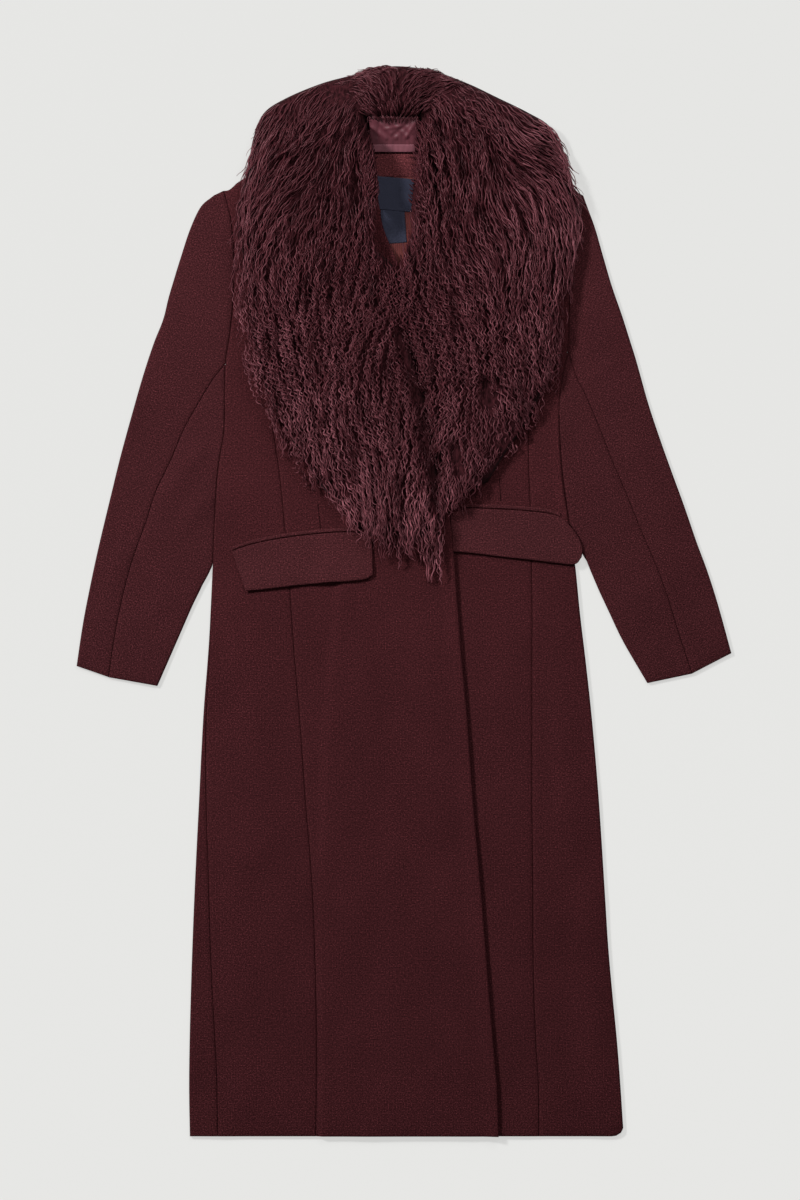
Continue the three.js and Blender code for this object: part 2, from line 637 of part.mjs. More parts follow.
// The same climb, begun earlier, for what lies on the lap with sections of its own.
const EASY = { before: 32, over: 24 };
const easyLap = (x, y) =>
  bodyTop(x, y) + LAP.rise * clamp((x - lapLines(y).foot + EASY.before) / EASY.over, 0, 1);
function flapPiece(rows, top) {
  const plan = fractions(FLAP_STEPS.across).map((across) => fractions(FLAP_STEPS.along).map((t) => [
    lerp(between(rows, 'lowX', t), between(rows, 'topX', t), across),
    lerp(between(rows, 'lowY', t), between(rows, 'topY', t), across),
  ]));
  return layOn(plan, (x, y) => top(x, y) + FLAP_LIFT, FLAP);
}
const WELT_DEPTH = 4.5;
function weltPiece(rows, top) {
  const plan = [0, WELT_DEPTH].map((depth) => fractions(FLAP_STEPS.along).map((t) => [
    between(rows, 'x', t), between(rows, 'y', t) + depth,
  ]));
  return layOn(plan, (x, y) => top(x, y) + FLAP_LIFT, WELT);
}

// ---- fur ------------------------------------------------------------------------------
// Across a row the fur rises steeply from its inner edge, is deepest near a third of the
// way and thins to the tips. Locks stand out of it, and its outer edge goes in and out.
// outside and down say how far beyond the shoulder the pelt starts to fall, and over how far.
const FUR = { columns: 11, innerShare: 0.42, outerShare: 0.3, rise: 0.24, fall: 0.42,
  scallop: 2.5, outside: 16, down: 26, floor: 0.5, crowd: 0.055, edgeLocks: 0.35 };
const FUR_SHARES = fractions(FUR.columns)
  .map((t) => t - FUR.crowd * Math.sin(2 * Math.PI * t));
function furDepth(t, depth) {
  const up = 1 - (1 - Math.min(t / FUR.rise, 1)) ** 2;
  const down = Math.max(t - FUR.fall, 0) / (1 - FUR.fall);
  const body = lerp(FUR.innerShare, 1, up) - (1 - FUR.outerShare) * down * down;
  return depth * body;
}
function furPiece(rows, base) {
  const plan = rows.map((row, i) => {
    const out = (i % 2 ? FUR.scallop : -FUR.scallop)
      / Math.hypot(row.outerX - row.innerX, row.outerY - row.innerY);
    return FUR_SHARES.map((t) => {
      const reach = t + out * t * t;
      return { x: lerp(row.innerX, row.outerX, reach), y: lerp(row.innerY, row.outerY, reach),
        depth: furDepth(t, row.depth), soft: 4 * t * (1 - t) };
    });
  });
  const low = plan.map((row) => row.map((p) => [p.x, p.y, base(p.x, p.y)]));
  const high = plan.map((row, i) => row.map((p, j) => [p.x, p.y,
    low[i][j][2] + p.depth
      + lerp(FUR.edgeLocks, 1, p.soft) * raised(FUR_CLUMPS, p.x, p.y)]));
  return wall(high, low);
}
// What carries the fur: the fronts and sleeve heads, then the surface beyond the shoulders.
function furBase(top) {
  return (x, y) => {
    const beyond = (y - shoulderY(x) - FUR.outside) / FUR.down;
    return lerp(top(x, y) + FUR_CLEAR, FUR.floor, smooth(beyond));
  };
}
// The lowest tips lie on the pocket flaps and welts: the pelt climbs between the two lines.
const POCKET_CLIMB = table(['clearX', 'onX', 'clearY', 'onY'], [
  [-12, -28, 122, 98],
  [20, 40, 156, 130],
]);
const POCKET_RISE = FLAP_LIFT + FLAP + SMALL_GAP;
const onPocket = ({ clearX, onX, clearY, onY }, x, y) => POCKET_RISE
  * smooth((x - clearX) / (onX - clearX)) * smooth((y - clearY) / (onY - clearY));
const lapBase = furBase((x, y) => easyLap(x, y) + onPocket(POCKET_CLIMB[0], x, y));
const OVER_LAP = { reach: 5, fade: 16 };
function lappedEdge(y) {
  if (y <= RIGHT_YOKE[0].edgeY) return along(BODY, 'y', 'overEdge', y);
  return along(RIGHT_YOKE, 'edgeY', 'edgeX', y);
}
const lappedBase = furBase((x, y) => bodyTop(x, y) + onPocket(POCKET_CLIMB[1], x, y)
  + LAP.rise * (1 - smooth((x - lappedEdge(y) - OVER_LAP.reach) / OVER_LAP.fade)));
const backCollarBase = () => FUR.floor;

// ---- inside the neck ------------------------------------------------------------------
const NECK_STEPS = 5;
const neckPlan = (rows) => rows.map((row) =>
  fractions(NECK_STEPS).map((t) => [lerp(row.startX, row.endX, t), row.y]));
const flatAt = (level) => () => level;
const standAt = (lift) => (x, y) => STAND_BASE + lift + STAND_TILT * (y - STAND_Y);
const LINING_LEVEL = CLOTH + SMALL_GAP;
const LABEL_LEVEL = LINING_LEVEL + LINING + SMALL_GAP;
function labelPlan({ centreX, centreY, width, depth, turn }) {
  const [c, s] = [Math.cos(radians(turn)), Math.sin(radians(turn))];
  return [-0.5, 0, 0.5].map((v) => [-0.5, -0.17, 0.17, 0.5].map((u) => [
    centreX + u * width * c - v * depth * s, centreY + u * width * s + v * depth * c]));
}
const loopPlan = [0, 0.5, 1].map((v) => fractions(NECK_STEPS).map((t) => [
  lerp(LOOP.startX, LOOP.endX, t), LOOP.y + v * LOOP.depth]));

// ---- the coat -------------------------------------------------------------------------
const wool = (color) => ({ color, roughness: 0.92, metalness: 0 });
const FINISH = {
  wool: wool(0x3a191c),
  sleeveWool: wool(0x411e21),
  flapWool: wool(0x452125),
  fur: { color: 0x381b1f, roughness: 0.8, metalness: 0 },
  satin: { color: 0x6b4450, roughness: 0.35, metalness: 0 },
  facing: wool(0x3a1c1e),
  lining: { color: 0x3a1c1c, roughness: 0.5, metalness: 0 },
  label: { color: 0x22232b, roughness: 0.6, metalness: 0 },
};
const coat = new THREE.Group();
function sew(name, geometry, finish) {
  const mesh = new THREE.Mesh(geometry, new THREE.MeshStandardMaterial(FINISH[finish]));
  mesh.name = name;
  coat.add(mesh);
}

sew('back', backPanel(), 'wool');
sew('front_right_side', sideFront('right', bodyTop), 'wool');
sew('front_right_centre', centreFront('right', lapTop), 'wool');
sew('front_left_side', sideFront('left', bodyTop), 'wool');
sew('front_left_centre', centreFront('left', bodyTop), 'wool');
for (const side of ['right', 'left']) {
  sew(`sleeve_${side}_top`, topSleeve(side), 'sleeveWool');
  sew(`sleeve_${side}_under`, underSleeve(side), 'sleeveWool');
}
sew('pocket_flap_right', flapPiece(RIGHT_FLAP, easyLap), 'flapWool');
sew('pocket_flap_left', flapPiece(LEFT_FLAP, bodyTop), 'flapWool');
sew('pocket_welt_right', weltPiece(RIGHT_WELT, easyLap), 'flapWool');
sew('pocket_welt_left', weltPiece(LEFT_WELT, bodyTop), 'flapWool');
sew('fur_lapel_right', furPiece(RIGHT_LAPEL, lapBase), 'fur');
sew('fur_lapel_left', furPiece(LEFT_LAPEL, lappedBase), 'fur');
sew('fur_collar_back', furPiece(BACK_COLLAR, backCollarBase), 'fur');
sew('collar_stand', layOn(neckPlan(COLLAR_STAND), standAt(0), WELT), 'wool');
sew('collar_lining', layOn(neckPlan(SATIN), standAt(WELT + SMALL_GAP), LINING), 'satin');
sew('hanger_loop', layOn(loopPlan, standAt(WELT + LINING + 2 * SMALL_GAP), LINING), 'satin');
sew('neck_facing', layOn(neckPlan(NECK_FACING), flatAt(LINING_LEVEL), LINING), 'facing');
sew('back_lining', layOn(neckPlan(BACK_LINING), flatAt(LINING_LEVEL), LINING), 'lining');
sew('label_main', layOn(labelPlan(MAIN_LABEL), flatAt(LABEL_LEVEL), LABEL), 'label');
sew('label_size', layOn(labelPlan(SIZE_LABEL), flatAt(LABEL_LEVEL), LABEL), 'label');

export default coat;
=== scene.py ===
"""Looks of a wool midi coat with a curly fur collar, laid flat on its back.

Shapes are worked out in millimetres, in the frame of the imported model: X across the coat, Y from
the hem to the collar, Z up from the floor. "Right" and "left" are the wearer's, so the right front
lies on the -X side and laps over the left one. Every piece of cloth is a closed wall: a net of
outer points over rows (r) and columns (distances across the row), and the same net moved in.
"""
import math

import bpy
import numpy as np
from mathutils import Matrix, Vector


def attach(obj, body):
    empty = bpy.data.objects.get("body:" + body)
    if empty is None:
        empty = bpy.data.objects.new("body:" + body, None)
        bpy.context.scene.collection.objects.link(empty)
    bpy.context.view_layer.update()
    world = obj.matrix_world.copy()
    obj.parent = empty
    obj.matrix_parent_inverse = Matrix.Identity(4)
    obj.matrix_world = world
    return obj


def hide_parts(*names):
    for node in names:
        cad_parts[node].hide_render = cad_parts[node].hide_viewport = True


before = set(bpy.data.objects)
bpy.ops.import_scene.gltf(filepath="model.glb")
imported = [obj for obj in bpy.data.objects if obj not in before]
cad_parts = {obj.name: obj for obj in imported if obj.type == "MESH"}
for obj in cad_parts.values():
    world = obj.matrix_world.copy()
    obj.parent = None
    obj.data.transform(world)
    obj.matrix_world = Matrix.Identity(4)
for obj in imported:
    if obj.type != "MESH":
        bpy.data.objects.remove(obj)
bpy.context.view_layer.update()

bl_info = {
    "name": "Midi coat dresser",
    "version": (1, 0, 0),
    "blender": (4, 5, 0),
    "location": "View3D > Sidebar > Coat",
    "description": "Sews the cloth, fur and studio of a midi coat round its packed solids",
    "category": "Object",
}

MM = 0.001

# ---- driving sizes, in millimetres ----
CLOTH = 2.6                 # coating, one layer
LOFT = 0.8                  # rest gap between two layers that lie on each other
SEAM = 0.3                  # gap at a seam
LAP_CLEAR = 0.6             # between the left front and the right front over it
HEM_Y = -668
UNDERARM_ROW_Y = 164
BODY_ROWS = 14
NECK_X = -7
NECK_HALF = 80
SHOULDER_Y = 596
SHOULDER_SLOPE = 0.6
SHOULDER_FADE = 60
RETURN_WIDTH = 12           # the left front turns under by this much at its side
ARMHOLE_GAP = 0.5
LINING = 1.0
LABEL = 0.7
FLAP = 2.8
FLAP_LIFT = 0.5
WELT = 1.6
WELT_DEPTH = 4.5
FUR_CLEAR = 0.9
SMALL_GAP = 0.3
TUCKED = 0.2                # the size label's upper edge lies under the other by this gap
PRESSED = 0.6               # edges and seams are pressed down by this much over the edge band
EDGE = np.array([0, 0.25, 0.7, 1.5])     # places of the points that round a cut edge
EDGE_BAND = 4.0                          # from there inwards the points are evenly spaced
FINE = 400                               # samples along a line that is looked up


def table(names, rows):
    """Rows of numbers as one array for each named column."""
    return dict(zip(names.split(), np.array(rows, float).T))


# ---- tables ----
# These are the solids' own sections, apart from the flaps' corners, the loop and the size label.
BODY = table("y rightFold leftFold sideSeam rightPrincess overEdge underEdge leftPrincess", [
    (-668, -267.5, 274, 35, -110, 118, -100, 168.5),
    (-598, -268.5, 270, 35, -109, 115.5, -99.5, 168), (-536, -267.5, 265, 31, -109, 110, -98, 164),
    (-448, -265, 256.5, 24, -111, 103, -95.5, 161.5), (-348, -261, 250, 17, -115, 95, -91, 161),
    (-248, -256, 243.5, 9, -123, 86, -87, 160), (-148, -251, 235, 4, -130, 79, -82, 160),
    (-48, -243.5, 224, 1.5, -138.5, 70, -74, 160), (27, -240, 215, 0, -143, 64.5, -66, 160),
    (64, -238, 212.5, 0, -147, 61.5, -62, 159), (127, -235.5, 201.5, 0, -151.5, 54, -56, 158),
    (164, -232.5, 197.5, 0, -156, 46, -52, 156), (214, -225, 194.5, 0, -163, 37.5, -46, 155),
])
BODY_TOP_Y = BODY["y"][-1]
YOKE_NAMES = "armX armY princessX princessY edgeX edgeY"
YOKE = {
    "right": table(YOKE_NAMES, [
        (-225, 214, -163, 214, 37.5, 214), (-224, 252, -164.5, 256, 29.5, 258),
        (-223, 297, -165.5, 304, 17.5, 314), (-217.5, 333, -165.5, 348, 5, 364),
        (-212.5, 383, -165, 396, -6, 417), (-212, 433, -163, 448, -26, 467),
        (-216, 477, -160, 498, -39, 527), (-225, 513, -155, 555.5, -80, 588),
    ]),
    "left": table(YOKE_NAMES, [
        (194.5, 229, 155, 224, -45, 219), (196, 271, 154, 267, -35.5, 267),
        (204, 312, 152.5, 312, -25, 321), (206, 352, 151, 357, -14.5, 373),
        (207, 396, 150, 402, -4, 419), (207.5, 439, 149, 447, 9, 464),
        (209.5, 479, 146, 496, 15, 521), (212.5, 513, 142.5, 557, 60, 588),
    ]),
}
# Sleeve heads from the shoulder down: the outer fold opposite the armhole points 7 to 2.
HEAD = {
    "right": table("foldX foldY", [
        (-238, 507), (-254, 493), (-267.5, 464.5), (-279, 429.5), (-287.5, 402), (-294.5, 378),
    ]),
    "left": table("foldX foldY", [
        (224, 507), (230, 490.5), (239, 465.5), (249, 430.5), (260, 393), (272.5, 357),
    ]),
}
SLEEVE_NAMES = "seamX seamY foldX foldY innerX innerY"
SLEEVE = {
    "right": table(SLEEVE_NAMES, [
        (-240, 275.5, -301, 352, -228, 207), (-255, 250.5, -312.5, 323, -230.5, 193),
        (-274, 217, -326, 282, -234, 170.5), (-291, 177, -340, 233, -237, 130.5),
        (-310, 137, -354, 182, -239, 89.5), (-323, 97, -367.5, 127, -241.5, 55.5),
        (-339, 52, -381, 70.5, -251, 23), (-350, 12, -391, 24.5, -265, -7),
        (-360, -35.5, -401, -27, -284, -50.5), (-369, -94.5, -409, -80.5, -308, -105.5),
    ]),
    "left": table(SLEEVE_NAMES, [
        (216, 279.5, 282.5, 325.5, 197.5, 214.5), (227.5, 257, 291, 298, 199, 197),
        (246, 213, 305, 248, 202, 167), (261, 174.5, 319, 205.5, 206, 130.5),
        (279, 132, 335, 160.5, 214.5, 95.5), (295, 92, 350, 119.5, 225.5, 58),
        (314, 48, 366, 73, 241, 19.5), (327.5, 12, 379, 38, 256, -13),
        (341, -32, 392.5, -4.5, 274, -50.5), (360, -90, 409, -64.5, 304, -102),
    ]),
}
# Soft folds: x0, y0, x1, y1, width, height. Each lifts the cloth over the line between two places.
BODY_FOLDS = [
    (-62, -372, -92, -505, 38, 1.6), (-192, -50, -178, -320, 36, 1.7),
    (-212, -370, -196, -625, 32, 1.4), (22, -40, 46, -270, 44, 1.3), (64, -430, 74, -620, 34, 1.1),
    (196, -50, 210, -330, 32, 1.7), (230, -370, 245, -610, 28, 2.1), (120, -10, 126, -180, 38, 1.1),
    (139, -300, 146, -510, 42, 1), (-6, 417, -30, 500, 36, 2.6), (-30, 500, -44, 560, 36, 2.6),
    (-4, 417, 12, 480, 36, 2.6), (12, 480, 17, 560, 36, 2.6),
]
SLEEVE_FOLDS = [
    (-255, 187, -290, 142, 18, 2.4), (-246, 128, -276, 92, 15, 2), (-333, 250, -368, 170, 22, 1.5),
    (-352, 60, -378, -20, 24, 1.4), (232, 205, 262, 150, 20, 1.8), (290, 190, 330, 105, 24, 1.5),
    (318, 20, 352, -35, 24, 1.4),
]
# Creases finer than the solids have, in the same columns; a negative height is a trough.
BODY_CREASES = [
    (-228, 150, -190, 96, 13, 0.9), (-222, 10, -206, -90, 15, 0.8),
    (-150, -60, -138, -200, 17, -0.8), (-128, -280, -122, -420, 13, -0.6),
    (-30, -20, -18, -210, 21, -0.9), (-16, -240, -10, -430, 18, 0.7),
    (30, -300, 52, -470, 16, -0.8), (-66, -520, -70, -650, 20, 0.9), (8, -500, 2, -640, 22, -0.7),
    (96, -120, 104, -330, 10, 0.7), (180, -90, 186, -260, 12, -0.7),
    (200, -420, 206, -600, 16, -0.9), (186, 180, 168, 130, 12, 0.9),
    (-244, -470, -236, -640, 11, 0.8),
]
SLEEVE_CREASES = [
    (-300, 318, -262, 290, 12, 0.8), (-318, 212, -296, 200, 10, -0.7),
    (-262, 60, -296, 84, 11, 0.9), (-338, 120, -362, 140, 12, -0.7), (-300, 10, -322, -30, 13, 0.8),
    (-330, -40, -342, -84, 10, -0.6), (262, 300, 232, 276, 12, 0.8), (244, 110, 276, 96, 11, 0.9),
    (300, 60, 322, 44, 10, -0.7), (290, -20, 312, -62, 12, 0.8), (348, 60, 366, 20, 11, 0.7),
    (330, -50, 342, -84, 10, -0.6),
]
# Slow waves of the whole cloth: wavelength across, wavelength along, phase, height.
WAVES = [
    (170, 260, 0.4, 0.30), (-96, 150, 1.9, 0.22), (61, 118, 4.1, 0.16), (-43, 71, 2.7, 0.10),
]
FUR_NAMES = "innerX innerY outerX outerY depth"
PELT = {
    "right": table(FUR_NAMES, [
        (-50, 611, -68, 658, 34), (-47.5, 603, -105, 648, 36), (-45, 588, -149, 630, 37),
        (-44, 568, -178, 611, 37), (-41, 546, -191.5, 579, 36), (-37.5, 519, -198, 542, 35),
        (-31, 483, -211, 490, 35), (-22.5, 448, -219, 433, 34), (-5.4, 417, -220.5, 377, 34),
        (4.6, 370.5, -214, 320, 34), (15.8, 320.5, -200, 264, 33), (28.4, 264.5, -177.5, 220, 32),
        (38.4, 208, -151, 180, 31), (45.8, 152, -124, 143, 30), (50.2, 108, -93, 121, 28),
        (45, 77, -74, 93, 26), (32.5, 52, -60, 65, 24), (8, 34, -36, 46, 19),
    ]),
    "left": table(FUR_NAMES, [
        (27.5, 611, 45.5, 662, 34), (17.5, 603, 84, 647, 36), (17.5, 588, 120, 630, 37),
        (17.5, 568, 157.5, 612, 37), (16, 546, 186, 594, 36), (14, 517, 202.5, 562, 35),
        (9, 479.5, 216, 517, 35), (2.5, 445.5, 224, 489, 34), (-4.6, 417, 222.5, 450, 34),
        (5.4, 370.5, 214, 395, 32), (16.6, 320.5, 207.5, 333, 31), (29.2, 264.5, 196, 277, 30),
        (39.2, 208, 170, 229, 29), (46.6, 152, 135, 187, 28), (51, 108, 104, 142, 25),
        (56.5, 92, 80, 109, 19),
    ]),
    "back": table(FUR_NAMES, [
        (-46, 609, -64, 656.5, 34), (-38, 606, -52, 662.5, 37), (-24.5, 604, -32, 667, 39),
        (-11, 603.5, -11, 669, 40), (3, 604, 11, 667.5, 39), (15.5, 606, 30, 665, 37),
        (24, 609, 41.5, 660.5, 34),
    ]),
}
# Locks that stand out of the fur, and one hollow, in the columns of the soft folds.
FUR_CLUMPS = [
    (-206, 480, -212, 380, 26, 7), (-150, 590, -186, 520, 24, 6), (-92, 560, -138, 470, 26, 5),
    (-110, 420, -122, 320, 28, 5), (-176, 330, -160, 255, 24, 6), (-60, 330, -52, 230, 28, 5),
    (-20, 190, -12, 90, 26, 6), (-92, 200, -84, 130, 24, 5), (165, 575, 200, 500, 26, 7),
    (90, 600, 130, 540, 24, 6), (70, 500, 112, 430, 26, 5), (180, 440, 190, 340, 26, 6),
    (80, 360, 96, 270, 26, 5), (142, 300, 132, 220, 22, 5), (88, 190, 96, 140, 20, 5),
    (101, 262, 101, 250, 26, -9),
]
# Narrow hollows between locks: the parting of the lapels, and gaps between tresses. The locks
# in them are painted darker too, as painted shade.
FUR_HOLLOWS = [
    (-4, 330, 20, 255, 15, -15), (20, 255, 36, 160, 15, -15), (36, 160, 40, 112, 12, -11),
    (-22, 296, -18, 280, 12, -8), (62, 190, 66, 160, 12, -8), (101, 270, 103, 250, 14, -9),
    (-158, 560, -166, 540, 10, -8), (-132, 505, -140, 470, 10, -7), (-96, 560, -106, 520, 10, -7),
    (-70, 580, -78, 540, 9, -8), (-60, 520, -64, 480, 9, -6), (66, 560, 76, 530, 9, -8),
    (112, 545, 124, 515, 10, -8), (58, 500, 66, 470, 10, -6), (96, 486, 104, 462, 10, -7),
    (150, 480, 158, 440, 10, -6), (172, 560, 184, 530, 9, -6), (40, 590, 52, 570, 9, -6),
    (-120, 400, -124, 370, 10, -6), (-170, 330, -168, 300, 10, -6), (60, 380, 66, 340, 10, -7),
    (-62, 180, -58, 150, 9, -5), (-8, 150, -6, 120, 8, -5), (-40, 400, -36, 372, 10, -5),
]
# How the fur lies: at x, y it is combed towards dx, dy.
FLOW_NAMES = "x y dx dy"
FLOW = {
    "right": table(FLOW_NAMES, [
        (-100, 620, -0.85, -0.5), (-160, 590, -0.55, -0.83), (-190, 540, -0.35, -0.94),
        (-120, 560, -0.38, -0.92), (-60, 560, -0.15, -0.99), (-50, 500, -0.12, -0.99),
        (-200, 450, -0.2, -0.98), (-130, 450, -0.12, -0.99), (-30, 430, 0, -1),
        (-200, 350, 0, -1), (-100, 330, 0, -1), (0, 330, 0.15, -0.99),
        (-150, 230, 0.1, -0.99), (-50, 200, 0.05, -1), (30, 200, 0.1, -0.99),
        (-60, 100, 0.1, -1), (-10, 90, -0.05, -1), (40, 130, -0.1, -0.99), (30, 80, -0.3, -0.95),
    ]),
    "left": table(FLOW_NAMES, [
        (70, 640, 0.8, -0.6), (130, 600, 0.8, -0.6), (180, 570, 0.75, -0.66),
        (60, 580, 0.5, -0.87), (30, 560, 0.1, -1), (200, 500, 0.5, -0.87),
        (120, 500, 0.45, -0.9), (40, 480, 0.1, -1), (200, 400, 0.2, -0.98),
        (120, 400, 0.2, -0.98), (40, 350, 0.1, -1), (190, 300, 0, -1),
        (120, 280, 0.05, -1), (60, 250, 0.1, -1), (150, 210, -0.1, -1),
        (100, 160, 0, -1), (70, 120, 0, -1),
    ]),
    "back": table(FLOW_NAMES, [
        (-50, 608, -0.95, 0.2), (-30, 610, -0.8, 0.6), (-12, 610, -0.35, 0.9),
        (8, 610, 0.5, 0.85), (26, 610, 0.95, 0.3), (-48, 630, -1, -0.1), (24, 632, 1, 0),
        (-60, 655, -1, -0.15), (-38, 658, -0.95, 0.15), (-12, 662, 0.5, 0.5), (14, 660, 0.95, 0.1),
        (40, 655, 1, -0.2),
    ]),
}
# What its locks are like: from smooth (0) to tightly curled (1), how long, and how light. The
# lightness is kept low along the parting of the lapels, as painted shade there.
CURL_NAMES = "x y curl length light"
CURLS = {
    "right": table(CURL_NAMES, [
        (-70, 640, 0.2, 50, 0.05), (-150, 600, 0.15, 62, 0.12), (-190, 540, 0.2, 60, 0.4),
        (-100, 560, 0.2, 62, 0.05), (-50, 540, 0.4, 46, 0.05), (-60, 480, 0.55, 42, 0.1),
        (-200, 450, 0.45, 50, 0.45), (-130, 450, 0.7, 42, 0.3), (-30, 420, 0.9, 34, 0.15),
        (-200, 350, 0.9, 36, 0.45), (-110, 350, 1, 32, 0.45), (-20, 330, 0.9, 36, 0.2),
        (-170, 260, 0.9, 40, 0.55), (-90, 240, 0.8, 42, 0.5), (0, 240, 0.8, 42, 0.35),
        (-110, 160, 0.65, 50, 0.8), (-40, 120, 0.6, 52, 0.8), (20, 110, 0.6, 48, 0.7),
        (-20, 50, 0.55, 48, 1.0),
    ]),
    "left": table(CURL_NAMES, [
        (60, 640, 0.4, 44, 0.1), (75, 605, 0.8, 40, 0.25), (130, 610, 0.2, 58, 0.3),
        (185, 575, 0.1, 64, 0.85), (205, 520, 0.1, 64, 0.8), (120, 540, 0.2, 64, 0.45),
        (50, 560, 0.4, 46, 0.25), (30, 500, 0.6, 42, 0.25), (200, 460, 0.2, 60, 0.6),
        (120, 450, 0.4, 52, 0.4), (40, 430, 0.8, 38, 0.25), (200, 380, 0.6, 46, 0.45),
        (120, 370, 0.85, 38, 0.5), (30, 340, 0.9, 36, 0.25), (180, 280, 0.8, 40, 0.45),
        (110, 260, 0.8, 40, 0.4), (50, 230, 0.85, 40, 0.45), (130, 190, 0.65, 46, 0.6),
        (90, 130, 0.55, 46, 0.7), (70, 110, 0.55, 42, 0.7),
    ]),
    "back": table(CURL_NAMES, [
        (-50, 610, 0.4, 34, 0), (30, 610, 0.4, 34, 0), (-12, 640, 0.3, 40, 0),
    ]),
}
FLAPS = {
    "right": table("topX topY lowX lowY", [
        (-215, 63, -197.5, 13), (-189, 71.5, -167.5, 16), (-151, 79, -130, 20.5),
        (-105, 84.5, -92.5, 24), (-67.5, 86.5, -65, 25.5), (-47.5, 84, -46, 28.5),
        (-40, 80, -39, 33.5),
    ]),
    "left": table("topX topY lowX lowY", [
        (57.5, 109.5, 61.5, 62.5), (81, 116, 89, 60), (109, 115, 120, 56), (145, 113, 157.5, 52),
        (176, 110, 190, 48), (195, 105, 213, 46.5), (202.5, 99.5, 221.5, 55),
    ]),
}
WELTS = {
    "right": table("x y", [
        (-215, 64), (-189, 72.5), (-151, 80), (-105, 85.5), (-67.5, 87.5), (-47.5, 85),
    ]),
    "left": table("x y", [
        (57.5, 117), (81, 117.5), (109, 116.5), (145, 114.5), (176, 111.5), (195, 106.5),
    ]),
}
# Inside the neck: ends of each piece at its lower and upper edge.
STAND_TILT = 0.46
STAND_Y = 560
STAND_TOP_Y = 602
STAND_BASE = 2.9
NECK_PIECES = {
    "back_lining": table("y startX endX", [
        (412, -12, 3), (440, -25, 11), (470, -34, 17), (500, -41, 20), (530, -45, 22)]),
    "neck_facing": table("y startX endX", [(530.4, -45, 22), (545, -48, 24), (559, -50, 25)]),
    "collar_stand": table("y startX endX", [(560, -41, 16), (602, -43.5, 16.5)]),
    "collar_lining": table("y startX endX", [(562, -41, 16), (602, -43.5, 16.5)]),
    "hanger_loop": table("y startX endX", [(561, -38.5, 14), (570, -38.5, 14)]),
}
LABELS = {
    "label_main": {"centre": (-13.5, 509), "width": 49, "depth": 41, "turn": -5},
    "label_size": {"centre": (-13, 469), "width": 30, "depth": 43, "turn": 4},
}


# ---- small helpers ----
def smooth(t):
    """Three t squared less two t cubed, from 0 to 1."""
    c = np.clip(t, 0, 1)
    return c * c * (3 - 2 * c)


def plan(rows, name):
    """A table's X and Y of this name, as points."""
    return np.stack([rows[name + "X"], rows[name + "Y"]], axis=1)


def lerp(a, b, t):
    """Straight line from a to b."""
    return a + (b - a) * t


def curve(keys, values, at):
    """Smooth curve through a table: on each span a cubic whose end slopes are those of the chords
    over the neighbours. Beyond the table it goes on straight. Values may have further axes."""
    keys, values, at = np.asarray(keys, float), np.asarray(values, float), np.asarray(at, float)
    last = len(keys) - 1
    n = np.arange(last + 1)
    before, after = np.maximum(n - 1, 0), np.minimum(n + 1, last)
    spread = (slice(None),) + (None,) * (values.ndim - 1)
    slopes = (values[after] - values[before]) / (keys[after] - keys[before])[spread]
    inside = np.clip(at, keys[0], keys[-1])
    i = np.clip(np.searchsorted(keys, inside, side="right") - 1, 0, last - 1)
    grow = (Ellipsis,) + (None,) * (values.ndim - 1)
    span = (keys[i + 1] - keys[i])[grow]
    t = ((inside - keys[i])[grow]) / span
    ease = t * t * (3 - 2 * t)
    body = (values[i] * (1 - ease) + values[i + 1] * ease
            + span * (slopes[i] * t * (1 - t) ** 2 - slopes[i + 1] * t * t * (1 - t)))
    end = np.where((at < keys[0])[grow], slopes[0], slopes[-1])
    return body + (at - inside)[grow] * end


def raised(folds, x, y):
    """Sum of cosine bells: each lifts the cloth over a line by its height, fading over width."""
    total = np.zeros(np.broadcast(x, y).shape)
    for x0, y0, x1, y1, width, height in folds:
        dx, dy = x1 - x0, y1 - y0
        t = np.clip(((x - x0) * dx + (y - y0) * dy) / (dx * dx + dy * dy), 0, 1)
        away = np.minimum(np.hypot(x - x0 - t * dx, y - y0 - t * dy) / width, 1)
        total += height * (0.5 + 0.5 * np.cos(np.pi * away))
    return total


def waves(x, y):
    """Sum of plane sine waves."""
    return sum(height * np.sin(2 * np.pi * (x / across + y / along) + phase)
               for across, along, phase, height in WAVES)


def linear(value):
    """An sRGB hex colour such as 0x39191c as linear red, green, blue and alpha."""
    srgb = np.array([value >> 16 & 255, value >> 8 & 255, value & 255]) / 255
    rgb = np.where(srgb <= 0.04045, srgb / 12.92, ((srgb + 0.055) / 1.055) ** 2.4)
    return (*rgb.tolist(), 1.0)


# ---- heights of the layers ----
def shoulder_y(x):
    return SHOULDER_Y - SHOULDER_SLOPE * np.maximum(np.abs(x - NECK_X) - NECK_HALF, 0)


def loft(x, y):
    """The rest gap closes over the last stretch below the shoulder seam."""
    return lerp(LOFT, SEAM, smooth((y - shoulder_y(x) + SHOULDER_FADE) / SHOULDER_FADE))


def fold_radius(x, y):
    return CLOTH + loft(x, y) / 2


FINER = {"up_to": 120, "fade": 60}
LEAST_CREASE = -0.6         # finer creases and waves together dip no deeper
# The left front stands higher along its fold where the sleeve lies beside it.
BESIDE_SLEEVE = {"height": 2.2, "reach": 15, "low": 60, "high": 200, "fade": 35}


def over_sleeve(x, y):
    """A ridge along the left fold, faded in and out along Y."""
    fold = curve(BODY["y"], BODY["leftFold"], np.clip(y, HEM_Y, BODY_TOP_Y))
    near = 1 - smooth(np.abs(x - fold) / BESIDE_SLEEVE["reach"])
    begins = smooth((y - BESIDE_SLEEVE["low"]) / BESIDE_SLEEVE["fade"])
    ends = smooth((y - BESIDE_SLEEVE["high"]) / BESIDE_SLEEVE["fade"])
    return BESIDE_SLEEVE["height"] * near * begins * (1 - ends)


